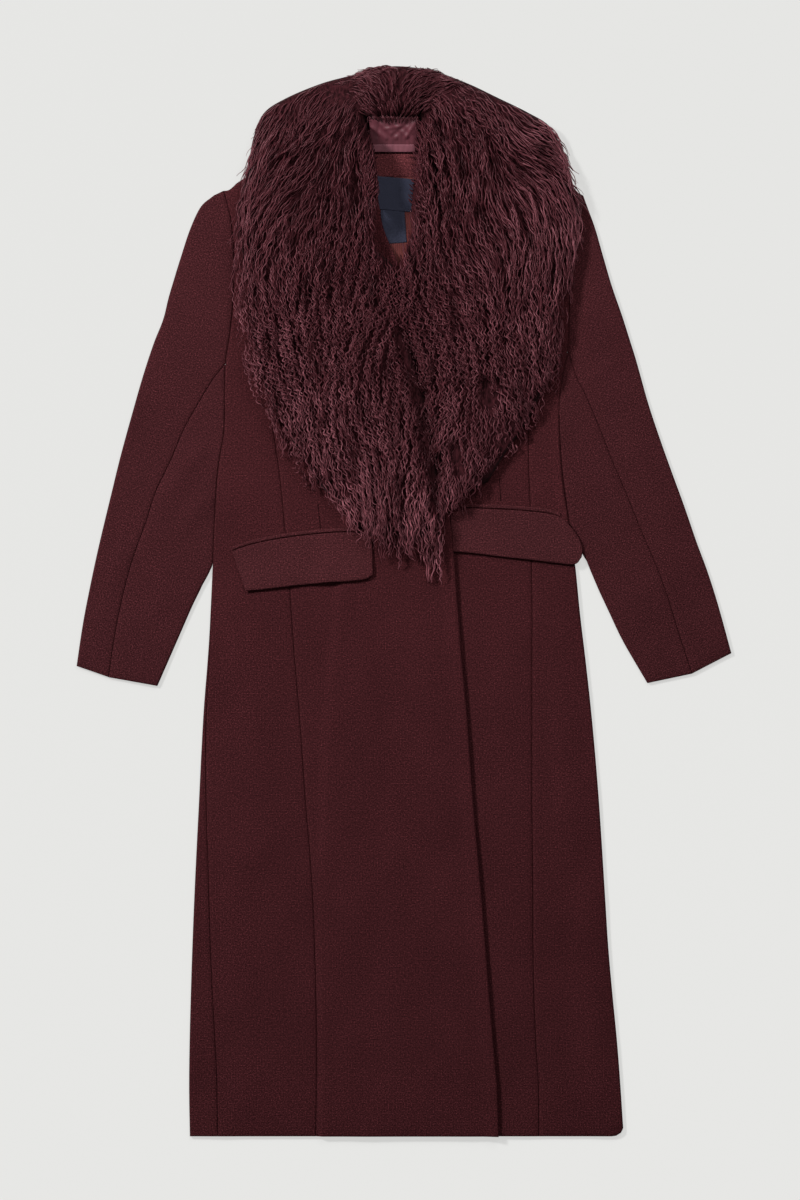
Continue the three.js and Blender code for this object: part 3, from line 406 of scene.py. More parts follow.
def body_top(x, y):
    """Two layers, the loft, the folds, the finer creases and the slow waves."""
    return (2 * CLOTH + loft(x, y) + raised(BODY_FOLDS, x, y) + over_sleeve(x, y)
            + np.maximum(raised(BODY_CREASES, x, y) + waves(x, y), LEAST_CREASE) * finer(y))


def sleeve_top(x, y):
    return (2 * CLOTH + loft(x, y) + raised(SLEEVE_FOLDS, x, y)
            + np.maximum(raised(SLEEVE_CREASES, x, y) + waves(y, x), LEAST_CREASE))


def finer(y):
    """Share of the finer creases: none under the fur, where the layers lie close."""
    return 1 - smooth((y - FINER["up_to"]) / FINER["fade"])


NOWHERE = -1e4              # stands for a seam that isn't there
LAP = {"foot": 22, "crest": 8, "seamRoom": 2, "crestRoom": 7, "rise": CLOTH + LAP_CLEAR}
EASY = {"before": 32, "over": 24}


def hidden_edge(y):
    """Edge of the left front under the right one."""
    yoke = YOKE["left"]
    start = yoke["edgeY"][0]
    return np.where(y <= start, curve(BODY["y"], BODY["underEdge"], np.clip(y, HEM_Y, start)),
                    curve(yoke["edgeY"], yoke["edgeX"], np.clip(y, start, yoke["edgeY"][-1])))


def lap_lines(y):
    """Where the right front starts to climb over the hidden edge, and where it is up."""
    princess = np.where(y < YOKE["left"]["edgeY"][0],
                        curve(BODY["y"], BODY["rightPrincess"], np.clip(y, HEM_Y, BODY_TOP_Y)),
                        NOWHERE)
    foot = np.maximum(hidden_edge(y) - LAP["foot"], princess + LAP["seamRoom"])
    return foot, np.maximum(hidden_edge(y) - LAP["crest"], foot + LAP["crestRoom"])


def lap_top(x, y):
    foot, crest = lap_lines(y)
    return body_top(x, y) + LAP["rise"] * smooth((x - foot) / (crest - foot))


def easy_lap(x, y):
    """The same climb, begun earlier, for what lies on the lap."""
    foot = lap_lines(y)[0]
    return body_top(x, y) + LAP["rise"] * np.clip((x - foot + EASY["before"]) / EASY["over"], 0, 1)


# ---- meshes ----
def flip_if_inside_out(points, quads):
    """Signed volume by the divergence theorem; a negative one turns every face round."""
    a, b, c, d = (points[quads[:, i]] for i in range(4))
    volume = np.einsum("ij,ij->", a, np.cross(b, c)) + np.einsum("ij,ij->", a, np.cross(c, d))
    return quads[:, ::-1] if volume < 0 else quads


def make_object(name, points, quads, uv=None, shades=None, smooth_faces=True):
    """A mesh object from points in millimetres and quads; a quad whose last two corners are alike
    is a triangle."""
    mesh = bpy.data.meshes.new(name)
    triangle = quads[:, 2] == quads[:, 3]
    sizes = np.where(triangle, 3, 4)
    corners = np.ones(quads.shape, bool)
    corners[triangle, 3] = False
    loops = quads[corners]
    mesh.vertices.add(len(points))
    mesh.vertices.foreach_set("co", (points * MM).astype(np.float32).ravel())
    mesh.loops.add(len(loops))
    mesh.loops.foreach_set("vertex_index", loops.astype(np.int32))
    mesh.polygons.add(len(sizes))
    mesh.polygons.foreach_set("loop_start", (np.cumsum(sizes) - sizes).astype(np.int32))
    mesh.update(calc_edges=True)
    mesh.polygons.foreach_set("use_smooth", np.full(len(sizes), smooth_faces))
    if uv is not None:
        layer = mesh.uv_layers.new(name="cloth")
        layer.data.foreach_set("uv", (uv[loops] * MM).astype(np.float32).ravel())
    for key, values in (shades or {}).items():
        attribute = mesh.attributes.new(key, "FLOAT", "POINT")
        attribute.data.foreach_set("value", values.astype(np.float32))
    mesh.validate()
    obj = bpy.data.objects.new(name, mesh)
    bpy.context.scene.collection.objects.link(obj)
    return obj


def net_quads(rows, columns, offset=0):
    """Quads between the neighbours of a net."""
    i, j = np.meshgrid(np.arange(rows - 1), np.arange(columns - 1), indexing="ij")
    a = (i * columns + j).ravel() + offset
    return np.stack([a, a + 1, a + columns + 1, a + columns], axis=1)


def rim_loop(rows, columns):
    """Numbers of a net's border points, once round."""
    top = np.arange(columns)
    right = np.arange(1, rows) * columns + columns - 1
    bottom = (rows - 1) * columns + np.arange(columns - 2, -1, -1)
    left = np.arange(rows - 2, 0, -1) * columns
    return np.concatenate([top, right, bottom, left])


EDGE_DROP = 0.46            # share of the thickness by which each face drops at a cut edge


def rounding(distance, thickness):
    """How far a face drops at this distance from a cut edge: a quarter of an ellipse."""
    inside = 1 - np.clip(distance / EDGE[-1], 0, 1)
    return EDGE_DROP * thickness * (1 - np.sqrt(np.clip(1 - inside ** 2, 0, 1)))


def closed_wall(name, outer, inner, turn=0.0):
    """A wall between two nets of the same size, with its rims. UVs are X and Y turned by the
    grain's angle."""
    rows, columns = outer.shape[:2]
    count = rows * columns
    points = np.concatenate([outer.reshape(-1, 3), inner.reshape(-1, 3)])
    loop = rim_loop(rows, columns)
    after = np.roll(loop, -1)
    quads = np.concatenate([
        net_quads(rows, columns), net_quads(rows, columns, count)[:, ::-1],
        np.stack([after, loop, loop + count, after + count], axis=1),
    ])
    c, s = math.cos(turn), math.sin(turn)
    uv = np.stack([points[:, 0] * c + points[:, 1] * s, points[:, 1] * c - points[:, 0] * s], axis=1)
    return make_object(f"{name}_dressed", points, flip_if_inside_out(points, quads), uv)


def cut_of(net):
    """The cut of a piece, from its net while it is still plain, with no fold or crease raised:
    the longest row, the longest column, and the sum of its quads' areas."""
    across = np.linalg.norm(np.diff(net, axis=1), axis=-1).sum(axis=1).max()
    down = np.linalg.norm(np.diff(net, axis=0), axis=-1).sum(axis=0).max()
    a, b, c, d = net[:-1, :-1], net[:-1, 1:], net[1:, 1:], net[1:, :-1]
    area = 0.5 * np.linalg.norm(np.cross(c - a, d - b), axis=-1).sum()
    return {"flat": (float(across) * MM, float(down) * MM), "area": float(area) * MM ** 2}


def plain_top(x, y):
    """Height of two layers with nothing raised."""
    return 2 * CLOTH + loft(x, y)


def cloth_wall(name, xy, angle, heading, top, edges, thickness=CLOTH, turn=0.0, reach=None):
    """A wall of cloth, and its cut. Its outer point lies at xy, as high as half the layer's top
    times one plus the sine of the angle, so 90 degrees is the flat top and -90 the flat underside.
    Its normal points along the heading by the angle's cosine. Both faces are rounded at the
    edges, and pressed where they lie flat, but not at the outermost line of a fold. The inner
    points are moved by reach, with which two pieces meet where they are sewn."""
    x, y = xy[..., 0], xy[..., 1]
    lift = (1 + np.sin(angle)) / 2
    outer = np.dstack([x, y, top(x, y) * lift])
    normal = np.dstack([heading * np.cos(angle)[..., None], np.sin(angle)])
    lies_flat = np.sin(angle) ** 2
    drop = (rounding(edges, thickness) * lies_flat)[..., None]
    outer = outer - normal * (PRESSED * lies_flat * (1 - smooth(edges / EDGE_BAND)))[..., None]
    inner = outer - normal * (thickness - drop)
    if reach is not None:
        inner[..., :2] += reach
    wall = closed_wall(name, outer - normal * drop, inner, turn)
    return wall, cut_of(np.dstack([x, y, plain_top(x, y) * lift]))


def row_places(last, per_row, first_mm, last_mm):
    """Places along the rows of a table: evenly spaced, with the points of a rounded edge at both
    ends. first_mm and last_mm are the lengths of the first and last span."""
    lead, tail = EDGE_BAND / first_mm, EDGE_BAND / last_mm
    middle = np.linspace(lead, last - tail, int(last * per_row) + 1)
    places = np.concatenate([EDGE / first_mm, middle, last - EDGE[::-1] / last_mm])
    far = np.full(len(middle), EDGE_BAND)
    return places, np.concatenate([EDGE, far, EDGE[::-1]])


def distances(width, count, stops=()):
    """Distances over each row: rounded-edge points at both ends, even ones between. stops are the
    distances, one for each row, that the even ones are split at, and count has one number for
    each stretch."""
    knots = [np.full_like(width, EDGE_BAND), *stops, width - EDGE_BAND]
    counts = np.atleast_1d(count)
    parts = [np.broadcast_to(EDGE, (len(width), len(EDGE)))]
    for a, b, n in zip(knots, knots[1:], counts):
        t = np.linspace(0, 1, n + 1)[:-1]
        parts.append(lerp(a[:, None], b[:, None], t))
    parts.append((width - EDGE_BAND)[:, None])
    parts.append(width[:, None] - EDGE[::-1])
    return np.concatenate(parts, axis=1)


def edge_distance(along, across_rows):
    """Distance of each point of a net to the nearest of the four edges."""
    width = along[:, -1:]
    return np.minimum(np.minimum(along, width - along), across_rows[:, None])


# ---- body panels ----
YOKE_ROWS = 8
ROWS = np.arange(BODY_ROWS + 1 + YOKE_ROWS)
OPEN_ROW = 15               # above this row the side fold opens into the armhole
SPAN_LOW = (UNDERARM_ROW_Y - HEM_Y) / BODY_ROWS
SPAN_HIGH = 40
RETURN_FADE = {"y": 60, "depth": 90}
LEAST_BEND = 4
HEM_CORNER = {"radius": 14, "rise": 12}
# Columns of the nets: for each stretch of a row, and how many rows for each section.
SIDE_NET = {"columns": (2, 7, 17), "per_row": 5}
CENTRE_NET = {"right": (11, 4, 27), "left": (9, 9), "per_row": 5.5}
BACK_NET = {"flat": 5, "fold": 9, "middle": 24, "per_row": 3.2}
LAP_COLUMNS = {"foot": 0.84, "crest": 0.93, "apart": 3}      # furthest shares of a row, least gap
SHOWN = {"x": 160, "width": 52, "least": 40, "share": 0.5}   # the left front's finer columns


def body_knots(side):
    """The sections of one side from the hem to the shoulder: fold, princess seam, front edge."""
    y = np.linspace(HEM_Y, UNDERARM_ROW_Y, BODY_ROWS + 1)
    yoke = YOKE[side]
    edge = "overEdge" if side == "right" else "underEdge"
    pairs = {"fold": (f"{side}Fold", "arm"), "princess": (f"{side}Princess", "princess"),
             "edge": (edge, "edge")}
    knots = {}
    for name, (column, part) in pairs.items():
        x = np.concatenate([curve(BODY["y"], BODY[column], y), yoke[part + "X"]])
        knots[name] = np.stack([x, np.concatenate([y, yoke[part + "Y"]])], axis=1)
    return knots


def on_fold(side, fold, s, opening):
    """A place round a side fold, by its distance s along the cloth from the fold's outermost
    line, positive on the front: the angle is s over the radius up to a quarter turn, and the flat
    goes on from there. Where the fold is open the cloth is flat from its edge."""
    inwards = 1 if side == "right" else -1
    radius = fold_radius(fold[:, :1], fold[:, 1:])
    quarter = radius * np.pi / 2
    bend = np.clip(s / radius, -np.pi / 2, np.pi / 2)
    reach = radius * (1 - np.cos(bend)) + np.maximum(np.abs(s) - quarter, 0)
    reach = lerp(reach, np.abs(s), opening)
    angle = lerp(bend, np.sign(s) * np.pi / 2, opening)
    return fold[:, :1] + inwards * reach, angle


def along_fold(width, radius):
    """Distance along the cloth from the fold's outermost line to a seam that lies in by width."""
    inner = radius * np.arccos(np.clip(1 - np.maximum(width, 0) / radius, -1, 1))
    return np.where(width < radius, inner, radius * np.pi / 2 + width - radius)


def side_seam(side, fold):
    """Where the side seam lies, as a distance round the fold."""
    y = np.minimum(fold[:, 1], BODY_TOP_Y)
    radius = fold_radius(fold[:, 0], fold[:, 1])
    if side == "right":
        return along_fold(curve(BODY["y"], BODY["sideSeam"], y), radius)
    turned_under = 1 - smooth((y - RETURN_FADE["y"]) / RETURN_FADE["depth"])
    return -(radius * np.pi / 2 + RETURN_WIDTH) * turned_under


def hem_lift(xy, places):
    """The hem rises in a quarter circle at the left front's lower corner."""
    near = np.clip((xy[..., 0] - BODY["leftFold"][0]) / HEM_CORNER["radius"] + 1, 0, 1)
    rise = HEM_CORNER["rise"] * (1 - np.sqrt(1 - near ** 2))
    xy[..., 1] += rise * np.clip(1 - places, 0, 1)[:, None]
    return xy


def side_front(side):
    """From the side seam round the fold to the princess seam."""
    inwards = 1 if side == "right" else -1
    knots = body_knots(side)
    places, ends = row_places(ROWS[-1], SIDE_NET["per_row"], SPAN_LOW, SPAN_HIGH)
    fold, princess = (curve(ROWS, knots[name], places) for name in ("fold", "princess"))
    opening = smooth(places - OPEN_ROW)[:, None]
    radius = fold_radius(fold[:, 0], fold[:, 1])
    quarter = radius * np.pi / 2
    start = side_seam(side, fold) + SEAM / 2
    span = inwards * (princess[:, 0] - fold[:, 0]) - SEAM / 2
    end = span + (1 - opening[:, 0]) * (quarter - radius)
    bent = np.maximum(-quarter - start, EDGE_BAND + 0.5)
    flat = np.maximum(quarter - start, bent + LEAST_BEND)
    along = distances(end - start, SIDE_NET["columns"], (bent, flat))
    x, angle = on_fold(side, fold, start[:, None] + along, opening)
    share = np.clip(inwards * (x - fold[:, :1]) / span[:, None], 0, 1)
    y = fold[:, 1:] + (princess[:, 1:] - fold[:, 1:]) * share * smooth(share * 4)
    xy = hem_lift(np.stack([x, y], axis=-1), places)
    heading = np.broadcast_to([-inwards, 0.0], xy.shape)
    return cloth_wall(f"front_{side}_side", xy, angle, heading, body_top,
                      edge_distance(along, ends))


EDGE_LIFT = {"height": 3.6, "reach": 20, "top": 62, "fade": 70}


def lifted_lap(edge):
    """Top of the right front: its free edge stands a little off the front under it."""
    def top(x, y):
        inside = curve(edge[:, 1], edge[:, 0], y) - x
        low = 1 - smooth((y - EDGE_LIFT["top"]) / EDGE_LIFT["fade"])
        return lap_top(x, y) + EDGE_LIFT["height"] * low * smooth(1 - inside / EDGE_LIFT["reach"])
    return top


def centre_front(side):
    """From the princess seam to the front edge. The right one climbs the lap between two of its
    columns."""
    outwards = 1 if side == "right" else -1
    knots = body_knots(side)
    places, ends = row_places(ROWS[-1], CENTRE_NET["per_row"], SPAN_LOW, SPAN_HIGH)
    princess, edge = (curve(ROWS, knots[name], places) for name in ("princess", "edge"))
    start = princess[:, 0] + outwards * SEAM / 2
    width = outwards * (edge[:, 0] - start)
    if side == "right":
        foot, crest = lap_lines(edge[:, 1])
        foot = np.clip(foot - start, EDGE_BAND + 1, LAP_COLUMNS["foot"] * width)
        crest = np.clip(crest - start, foot + LAP_COLUMNS["apart"], LAP_COLUMNS["crest"] * width)
        stops, top = (foot, crest), lifted_lap(knots["edge"])
    else:
        shown = SHOWN["width"] - (start - SHOWN["x"])
        stops, top = (np.clip(shown, SHOWN["least"], SHOWN["share"] * width),), body_top
    along = distances(width, CENTRE_NET[side], stops)
    share = along / width[:, None]
    xy = np.stack([start[:, None] + outwards * along,
                   lerp(princess[:, 1:], edge[:, 1:], share)], axis=-1)
    angle = np.full(xy.shape[:2], np.pi / 2)
    return cloth_wall(f"front_{side}_centre", xy, angle, np.zeros(xy.shape), top,
                      edge_distance(along, ends))


BACK_NECK_DROP = 30
FOLD_STOPS = {"bend": 0.6, "arc": 2}    # least lengths before the bend and of the bend


def back_panel():
    """From the right side seam on the front, round the fold and under the whole coat to the left
    side seam. The upper edge follows the shoulders and the back of the neck."""
    places, ends = row_places(ROWS[-1], BACK_NET["per_row"], SPAN_LOW, SPAN_HIGH)
    folds = {side: curve(ROWS, body_knots(side)["fold"], places) for side in ("right", "left")}
    opening = smooth(places - OPEN_ROW)[:, None]
    even = np.linspace(0, 1, BACK_NET["flat"] + 1)
    strips = {}
    for side, fold in folds.items():
        quarter = fold_radius(fold[:, :1], fold[:, 1:]) * np.pi / 2
        seam = side_seam(side, fold)[:, None] - SEAM / 2
        first = seam - EDGE_BAND
        if side == "right":
            bend = np.minimum(quarter, first - FOLD_STOPS["bend"])
            arc = np.minimum(-quarter, bend - FOLD_STOPS["arc"])
            stops = [seam - EDGE, lerp(first, bend, even[:-1]),
                     lerp(bend, arc, np.linspace(0, 1, BACK_NET["fold"]))]
        else:
            bend = np.minimum(-quarter, first - FOLD_STOPS["bend"])
            stops = [lerp(bend, first, even), seam - EDGE[::-1]]
        strips[side] = on_fold(side, fold, np.concatenate(stops, axis=1), opening)
    (right_x, right_angle), (left_x, left_angle) = strips["right"], strips["left"]
    share = np.linspace(0, 1, BACK_NET["middle"])[1:-1]
    middle = lerp(right_x[:, -1:], left_x[:, :1], share)
    x = np.concatenate([right_x, middle, left_x], axis=1)
    angle = np.concatenate([right_angle, np.full(middle.shape, -np.pi / 2), left_angle], axis=1)
    right_y, left_y = folds["right"][:, 1:], folds["left"][:, 1:]
    across = np.clip((x - right_x[:, -1:]) / (left_x[:, :1] - right_x[:, -1:]), 0, 1)
    level = lerp(right_y, left_y, across)
    shoulder = smooth((places - BODY_ROWS - 2) / (ROWS[-1] - BODY_ROWS - 2))[:, None]
    neck = np.maximum(1 - np.abs(x - NECK_X) / NECK_HALF, 0) * BACK_NECK_DROP
    inside = (across > 0) & (across < 1)
    y = level + np.where(inside, shoulder * (shoulder_y(x) - level - neck), 0)
    xy = hem_lift(np.stack([x, y], axis=-1), places)
    inwards = np.where(np.arange(x.shape[1]) < right_x.shape[1], 1.0, -1.0)
    heading = np.broadcast_to(np.stack([-inwards, np.zeros_like(inwards)], axis=-1), xy.shape)
    steps = np.concatenate([EDGE, np.full(x.shape[1] - 2 * len(EDGE), EDGE_BAND), EDGE[::-1]])
    edges = np.minimum(steps[None], ends[:, None])
    return cloth_wall("back", xy, angle, heading, body_top, edges)


# ---- sleeves ----
HEAD_ROWS = 6               # armhole points 7 down to 2
ARMHOLE_ROWS = BODY_ROWS + 1 + np.arange(YOKE_ROWS)
TOP_NET = {"columns": 13, "per_row": 5.5, "spans": (35, 57)}
UNDER_NET = {"columns": 11, "per_row": 8, "spans": (14, 57)}
FOLD_COLUMNS = 9
COARSE = 3                  # every third column of the top layer is repeated underneath
MEET = 0.6                  # share of a seam's gap that each inner face reaches over
PIT_SHARE = 0.15            # share of its radius that the inner fold has where it meets the armhole
# Sleeve beside the body: its fold presses on the body's where it comes nearer than the first
# number, and is left where it was beyond the second.
TUCK = {"right": (4.6, 12), "left": (8, 15), "press": 0.25}


def fold_frame(origin, fold):
    """Heading from an edge to the fold opposite it, the fold's radius and its centre line."""
    reach = fold - origin
    heading = reach / np.linalg.norm(reach, axis=-1, keepdims=True)
    radius = fold_radius(fold[..., :1], fold[..., 1:])
    return heading, radius, fold - heading * radius


def tube(name, over, heading, radius, ends, turn, seam, first_row=(0.0, 0.0)):
    """A wall from the plan points of its top layer, the last of which lies on the fold's centre
    line: over the top, half a turn round the fold, and back underneath by fewer points. Both of
    its long edges reach the seam at their inner faces, and so does the first row."""
    count = over.shape[1]
    swing = np.linspace(np.pi / 2, -np.pi / 2, FOLD_COLUMNS)[1:-1]
    arc = over[:, -1:] + (heading * radius)[:, None] * np.cos(swing)[:, None]
    coarse = np.r_[:len(EDGE), len(EDGE):count - 1:COARSE, count - 1][::-1]
    xy = np.concatenate([over, arc, over[:, coarse]], axis=1)
    angle = np.concatenate([np.full(count, np.pi / 2), swing, np.full(len(coarse), -np.pi / 2)])
    edges = np.full(xy.shape[1], EDGE_BAND)
    edges[:len(EDGE)] = EDGE
    edges[-len(EDGE):] = EDGE[::-1]
    reach = np.zeros(xy.shape)
    reach[:, 0] = reach[:, -1] = seam
    reach[0] = first_row
    return cloth_wall(name, xy, np.broadcast_to(angle, xy.shape[:2]),
                      np.broadcast_to(heading[:, None], xy.shape), sleeve_top,
                      np.minimum(edges[None], ends[:, None]), turn=turn, reach=reach)


def flat_shares(origin, centre, count):
    """Shares of the flat part: the points of a rounded edge, then even ones."""
    length = np.linalg.norm(centre - origin, axis=-1)[:, None]
    even = lerp(EDGE_BAND / length, 1.0, np.linspace(0, 1, count))
    return np.concatenate([EDGE / length, even], axis=1)


def armhole(side, row, gap):
    """The armhole's line at body rows, moved out by the gap."""
    outwards = -1 if side == "right" else 1
    return curve(ARMHOLE_ROWS, plan(YOKE[side], "arm"), row) + np.array([outwards * gap, 0])


def sleeve_turn(side):
    """Angle of the sleeve's grain: from its head to its cuff."""
    rows = SLEEVE[side]
    dx, dy = rows["foldX"][0] - rows["foldX"][-1], rows["foldY"][0] - rows["foldY"][-1]
    return -math.atan2(dx, dy)


def sleeve_top_panel(side):
    """From the shoulder to the cuff, over the outer fold. Its first edge follows the armhole,
    then the front seam."""
    rows = SLEEVE[side]
    outwards = -1 if side == "right" else 1
    last = HEAD_ROWS - 1 + len(rows["foldX"])
    places, ends = row_places(last, TOP_NET["per_row"], *TOP_NET["spans"])
    seam = plan(rows, "seam") + (outwards * SEAM / 2, SEAM / 2)
    corner = armhole(side, ARMHOLE_ROWS[2:3].astype(float), ARMHOLE_GAP)
    below = curve(np.arange(HEAD_ROWS - 1, last + 1), np.concatenate([corner, seam]), places)
    above = armhole(side, ARMHOLE_ROWS[-1] - places, ARMHOLE_GAP)
    origin = np.where((places < HEAD_ROWS - 1)[:, None], above, below)
    fold = np.concatenate([plan(HEAD[side], "fold"), plan(rows, "fold")])
    heading, radius, centre = fold_frame(origin, curve(np.arange(last + 1), fold, places))
    shares = flat_shares(origin, centre, TOP_NET["columns"])
    over = lerp(origin[:, None], centre[:, None], shares[..., None])
    to_body = np.array([-outwards * (ARMHOLE_GAP + SEAM), 0])
    to_seam = np.array([-outwards, -1]) * SEAM * MEET
    sewn = np.where((places < HEAD_ROWS - 1)[:, None], to_body, to_seam)
    return tube(f"sleeve_{side}_top", over, heading, radius, ends, sleeve_turn(side), sewn)


def against_body(side, tip):
    """How far each place of the sleeve's inner fold moves in X to lie against the body's fold."""
    outwards = -1 if side == "right" else 1
    near, far = TUCK[side]
    body = curve(ROWS, body_knots(side)["fold"], np.linspace(0, ROWS[-1], FINE))
    apart = outwards * (tip[:, 0] - np.interp(tip[:, 1], body[:, 1], body[:, 0]))
    drawn = np.maximum((apart - near) * far / (far - near), -TUCK["press"])
    return outwards * (np.where(apart < far, drawn, apart) - apart)


def sleeve_under_panel(side):
    """From the underarm to the cuff, over the inner fold. Its upper edge follows the armhole."""
    rows = SLEEVE[side]
    inwards = 1 if side == "right" else -1
    gap = ARMHOLE_GAP + SEAM / 2
    origin = plan(rows, "seam") + (inwards * SEAM / 2, -SEAM / 2)
    heading, radius, centre = fold_frame(origin, plan(rows, "inner"))
    shares = flat_shares(origin, centre, UNDER_NET["columns"])
    over = lerp(origin[:, None], centre[:, None], shares[..., None])
    pit = armhole(side, ARMHOLE_ROWS[:1].astype(float), gap)
    pit_radius = fold_radius(pit[:, :1], pit[:, 1:]) * PIT_SHARE
    line = armhole(side, ARMHOLE_ROWS[2] - 2 * shares[0], gap)
    line[:, 1] -= 1 - shares[0]
    line[-1] = pit[0] - (inwards * pit_radius[0, 0], 0)
    knots = np.arange(len(over) + 1)
    places, ends = row_places(knots[-1], UNDER_NET["per_row"], *UNDER_NET["spans"])
    over = curve(knots, np.concatenate([line[None], over]), places)
    heading = curve(knots, np.concatenate([[(inwards, 0)], heading]), places)
    heading = heading / np.linalg.norm(heading, axis=-1, keepdims=True)
    radius = curve(knots, np.concatenate([pit_radius, radius]), places)
    shift = against_body(side, over[:, -1] + heading * radius)
    over[..., 0] += shift[:, None] * np.linspace(0, 1, over.shape[1]) ** 2
    to_seam = np.array([-inwards, 1]) * SEAM * MEET
    to_body = np.array([inwards * (gap + 3 * SEAM), 0])
    return tube(f"sleeve_{side}_under", over, heading, radius, ends, sleeve_turn(side), to_seam,
                to_body)


# ---- pockets ----
FLAP_STAND = 2.2            # the free edge of a flap stands off by this much
FLAP_SWELL = {"right": 0, "left": 7}     # and its outer end swells by this much at half its depth
FLAP_NET = {"length": 170, "columns": 44, "depth": 50, "rows": 12, "stand": 0.7, "swell": 0.8}
WELT_NET = {"length": 168, "columns": 40}
WELT_PLACES = np.array([0, 0.08, 0.25, 0.5, 0.75, 0.92, 1])


def thin_wall(name, xy, low, thickness, edges, turn=0.0, slope=0.0):
    """A flat piece whose underside follows a height, rounded at its edges, and its cut, worked
    out on the plane that it lies in."""
    drop = rounding(edges, thickness)
    outer = np.dstack([xy, low + thickness - drop])
    inner = np.dstack([xy, low + drop])
    plane = np.dstack([xy, slope * xy[..., 1]])
    return closed_wall(name, outer, inner, turn), cut_of(plane)


def spaced(length, count):
    """Shares of a length with the points of a rounded edge at both ends, and their distances."""
    even = np.linspace(EDGE_BAND, length - EDGE_BAND, count)
    places = np.concatenate([EDGE, even, length - EDGE[::-1]])
    return places / length, np.minimum(places, length - places)


def flap(side):
    """A net between the lines of the lower and the upper edge. The lower edge stands off, and the
    left flap's outer end swells."""
    rows = FLAPS[side]
    knots = np.linspace(0, 1, len(rows["topX"]))
    along, end_distance = spaced(FLAP_NET["length"], FLAP_NET["columns"])
    across, side_distance = spaced(FLAP_NET["depth"], FLAP_NET["rows"])
    low, high = (curve(knots, plan(rows, name), along) for name in ("low", "top"))
    xy = lerp(low[None], high[None], across[:, None, None])
    at_end = smooth((along - FLAP_NET["swell"]) / (1 - FLAP_NET["swell"]))
    xy[..., 0] += FLAP_SWELL[side] * np.sin(np.pi * across ** 0.9)[:, None] * at_end
    carried = easy_lap if side == "right" else body_top
    level = carried(xy[..., 0], xy[..., 1]) + FLAP_LIFT
    level = level + FLAP_STAND * (1 - smooth(across / FLAP_NET["stand"]))[:, None]
    edges = np.minimum(side_distance[:, None], end_distance[None])
    return thin_wall(f"pocket_flap_{side}", xy, level, FLAP, edges)


DARTS = {"right": (-107.5, 122, -104, 88), "left": (119, 153, 121, 125.5)}
DART = {"width": 1.2, "proud": 0.3, "root": 0.5, "rows": 24, "columns": 5}


def dart(side):
    """The seam of a short dart above the pocket: a narrow strip with a crown, from the first to the
    second place in X and Y."""
    x0, y0, x1, y1 = DARTS[side]
    t = np.linspace(0, 1, DART["rows"])[:, None]
    u = np.linspace(-1, 1, DART["columns"])
    x, y = np.broadcast_arrays(lerp(x0, x1, t) + u * DART["width"] / 2, lerp(y0, y1, t))
    level = body_top(x, y)
    high = level + DART["proud"] * (1 - u ** 2)
    return closed_wall(f"front_{side}_dart", np.dstack([x, y, high]),
                       np.dstack([x, y, level - DART["root"]]))


def welt(side):
    """A narrow raised strip along the pocket's upper edge."""
    rows = WELTS[side]
    along, end_distance = spaced(WELT_NET["length"], WELT_NET["columns"])
    line = curve(np.linspace(0, 1, len(rows["x"])), np.stack([rows["x"], rows["y"]], axis=1), along)
    across = WELT_PLACES * WELT_DEPTH
    xy = line[None] + np.stack([across * 0, across], axis=1)[:, None]
    carried = easy_lap if side == "right" else body_top
    crown = np.minimum(across, WELT_DEPTH - across)
    edges = np.minimum(crown[:, None], end_distance[None])
    return thin_wall(f"pocket_welt_{side}", xy, carried(xy[..., 0], xy[..., 1]) + FLAP_LIFT, WELT,
                     edges)


# ---- inside the neck ----
# Creases of the satin, in the columns of the soft folds.
SATIN_PULLS = [
    (-36, 600, -10, 578, 4.4, 1.5), (-21, 601, 4, 579, 3.8, 1.4), (-8, 601, 10, 584, 4.0, 1.2),
    (10, 600, -14, 580, 4.0, -1.2), (15, 597, 2, 578, 3.6, 1.3), (-39, 590, -22, 577, 3.6, 1.2),
    (-30, 598, -33, 580, 3.4, -1.0), (-2, 592, -24, 588, 3.0, 0.9),
]
NECK_NET = {"width": 60, "fine": 1.4, "coarse": 4.0}
LABEL_COLUMNS = 10


def neck_piece(name, level, thickness, pulls=(), slope=0.0):
    """A flat or tilted piece from a table of its ends, rounded at its edges, finer where the cloth
    is pulled into creases."""
    rows = NECK_PIECES[name]
    length = rows["y"][-1] - rows["y"][0]
    step = NECK_NET["fine"] if pulls else NECK_NET["coarse"]
    up, low_distance = spaced(length, max(int(length / step), 3))
    across, side_distance = spaced(NECK_NET["width"], int(NECK_NET["width"] / step))
    y = rows["y"][0] + length * up
    start, end = (np.interp(y, rows["y"], rows[key])[:, None] for key in ("startX", "endX"))
    x = lerp(start, end, across[None])
    xy = np.dstack([x, np.broadcast_to(y[:, None], x.shape)])
    low = level(xy[..., 0], xy[..., 1]) + raised(pulls, xy[..., 0], xy[..., 1])
    edges = np.minimum(low_distance[:, None], side_distance[None])
    return thin_wall(name, xy, low, thickness, edges, slope=slope)


def at_level(height):
    return lambda x, y: np.full(np.broadcast(x, y).shape, float(height))


def on_stand(lift):
    return lambda x, y: STAND_BASE + lift + STAND_TILT * (y - STAND_Y) + 0 * x


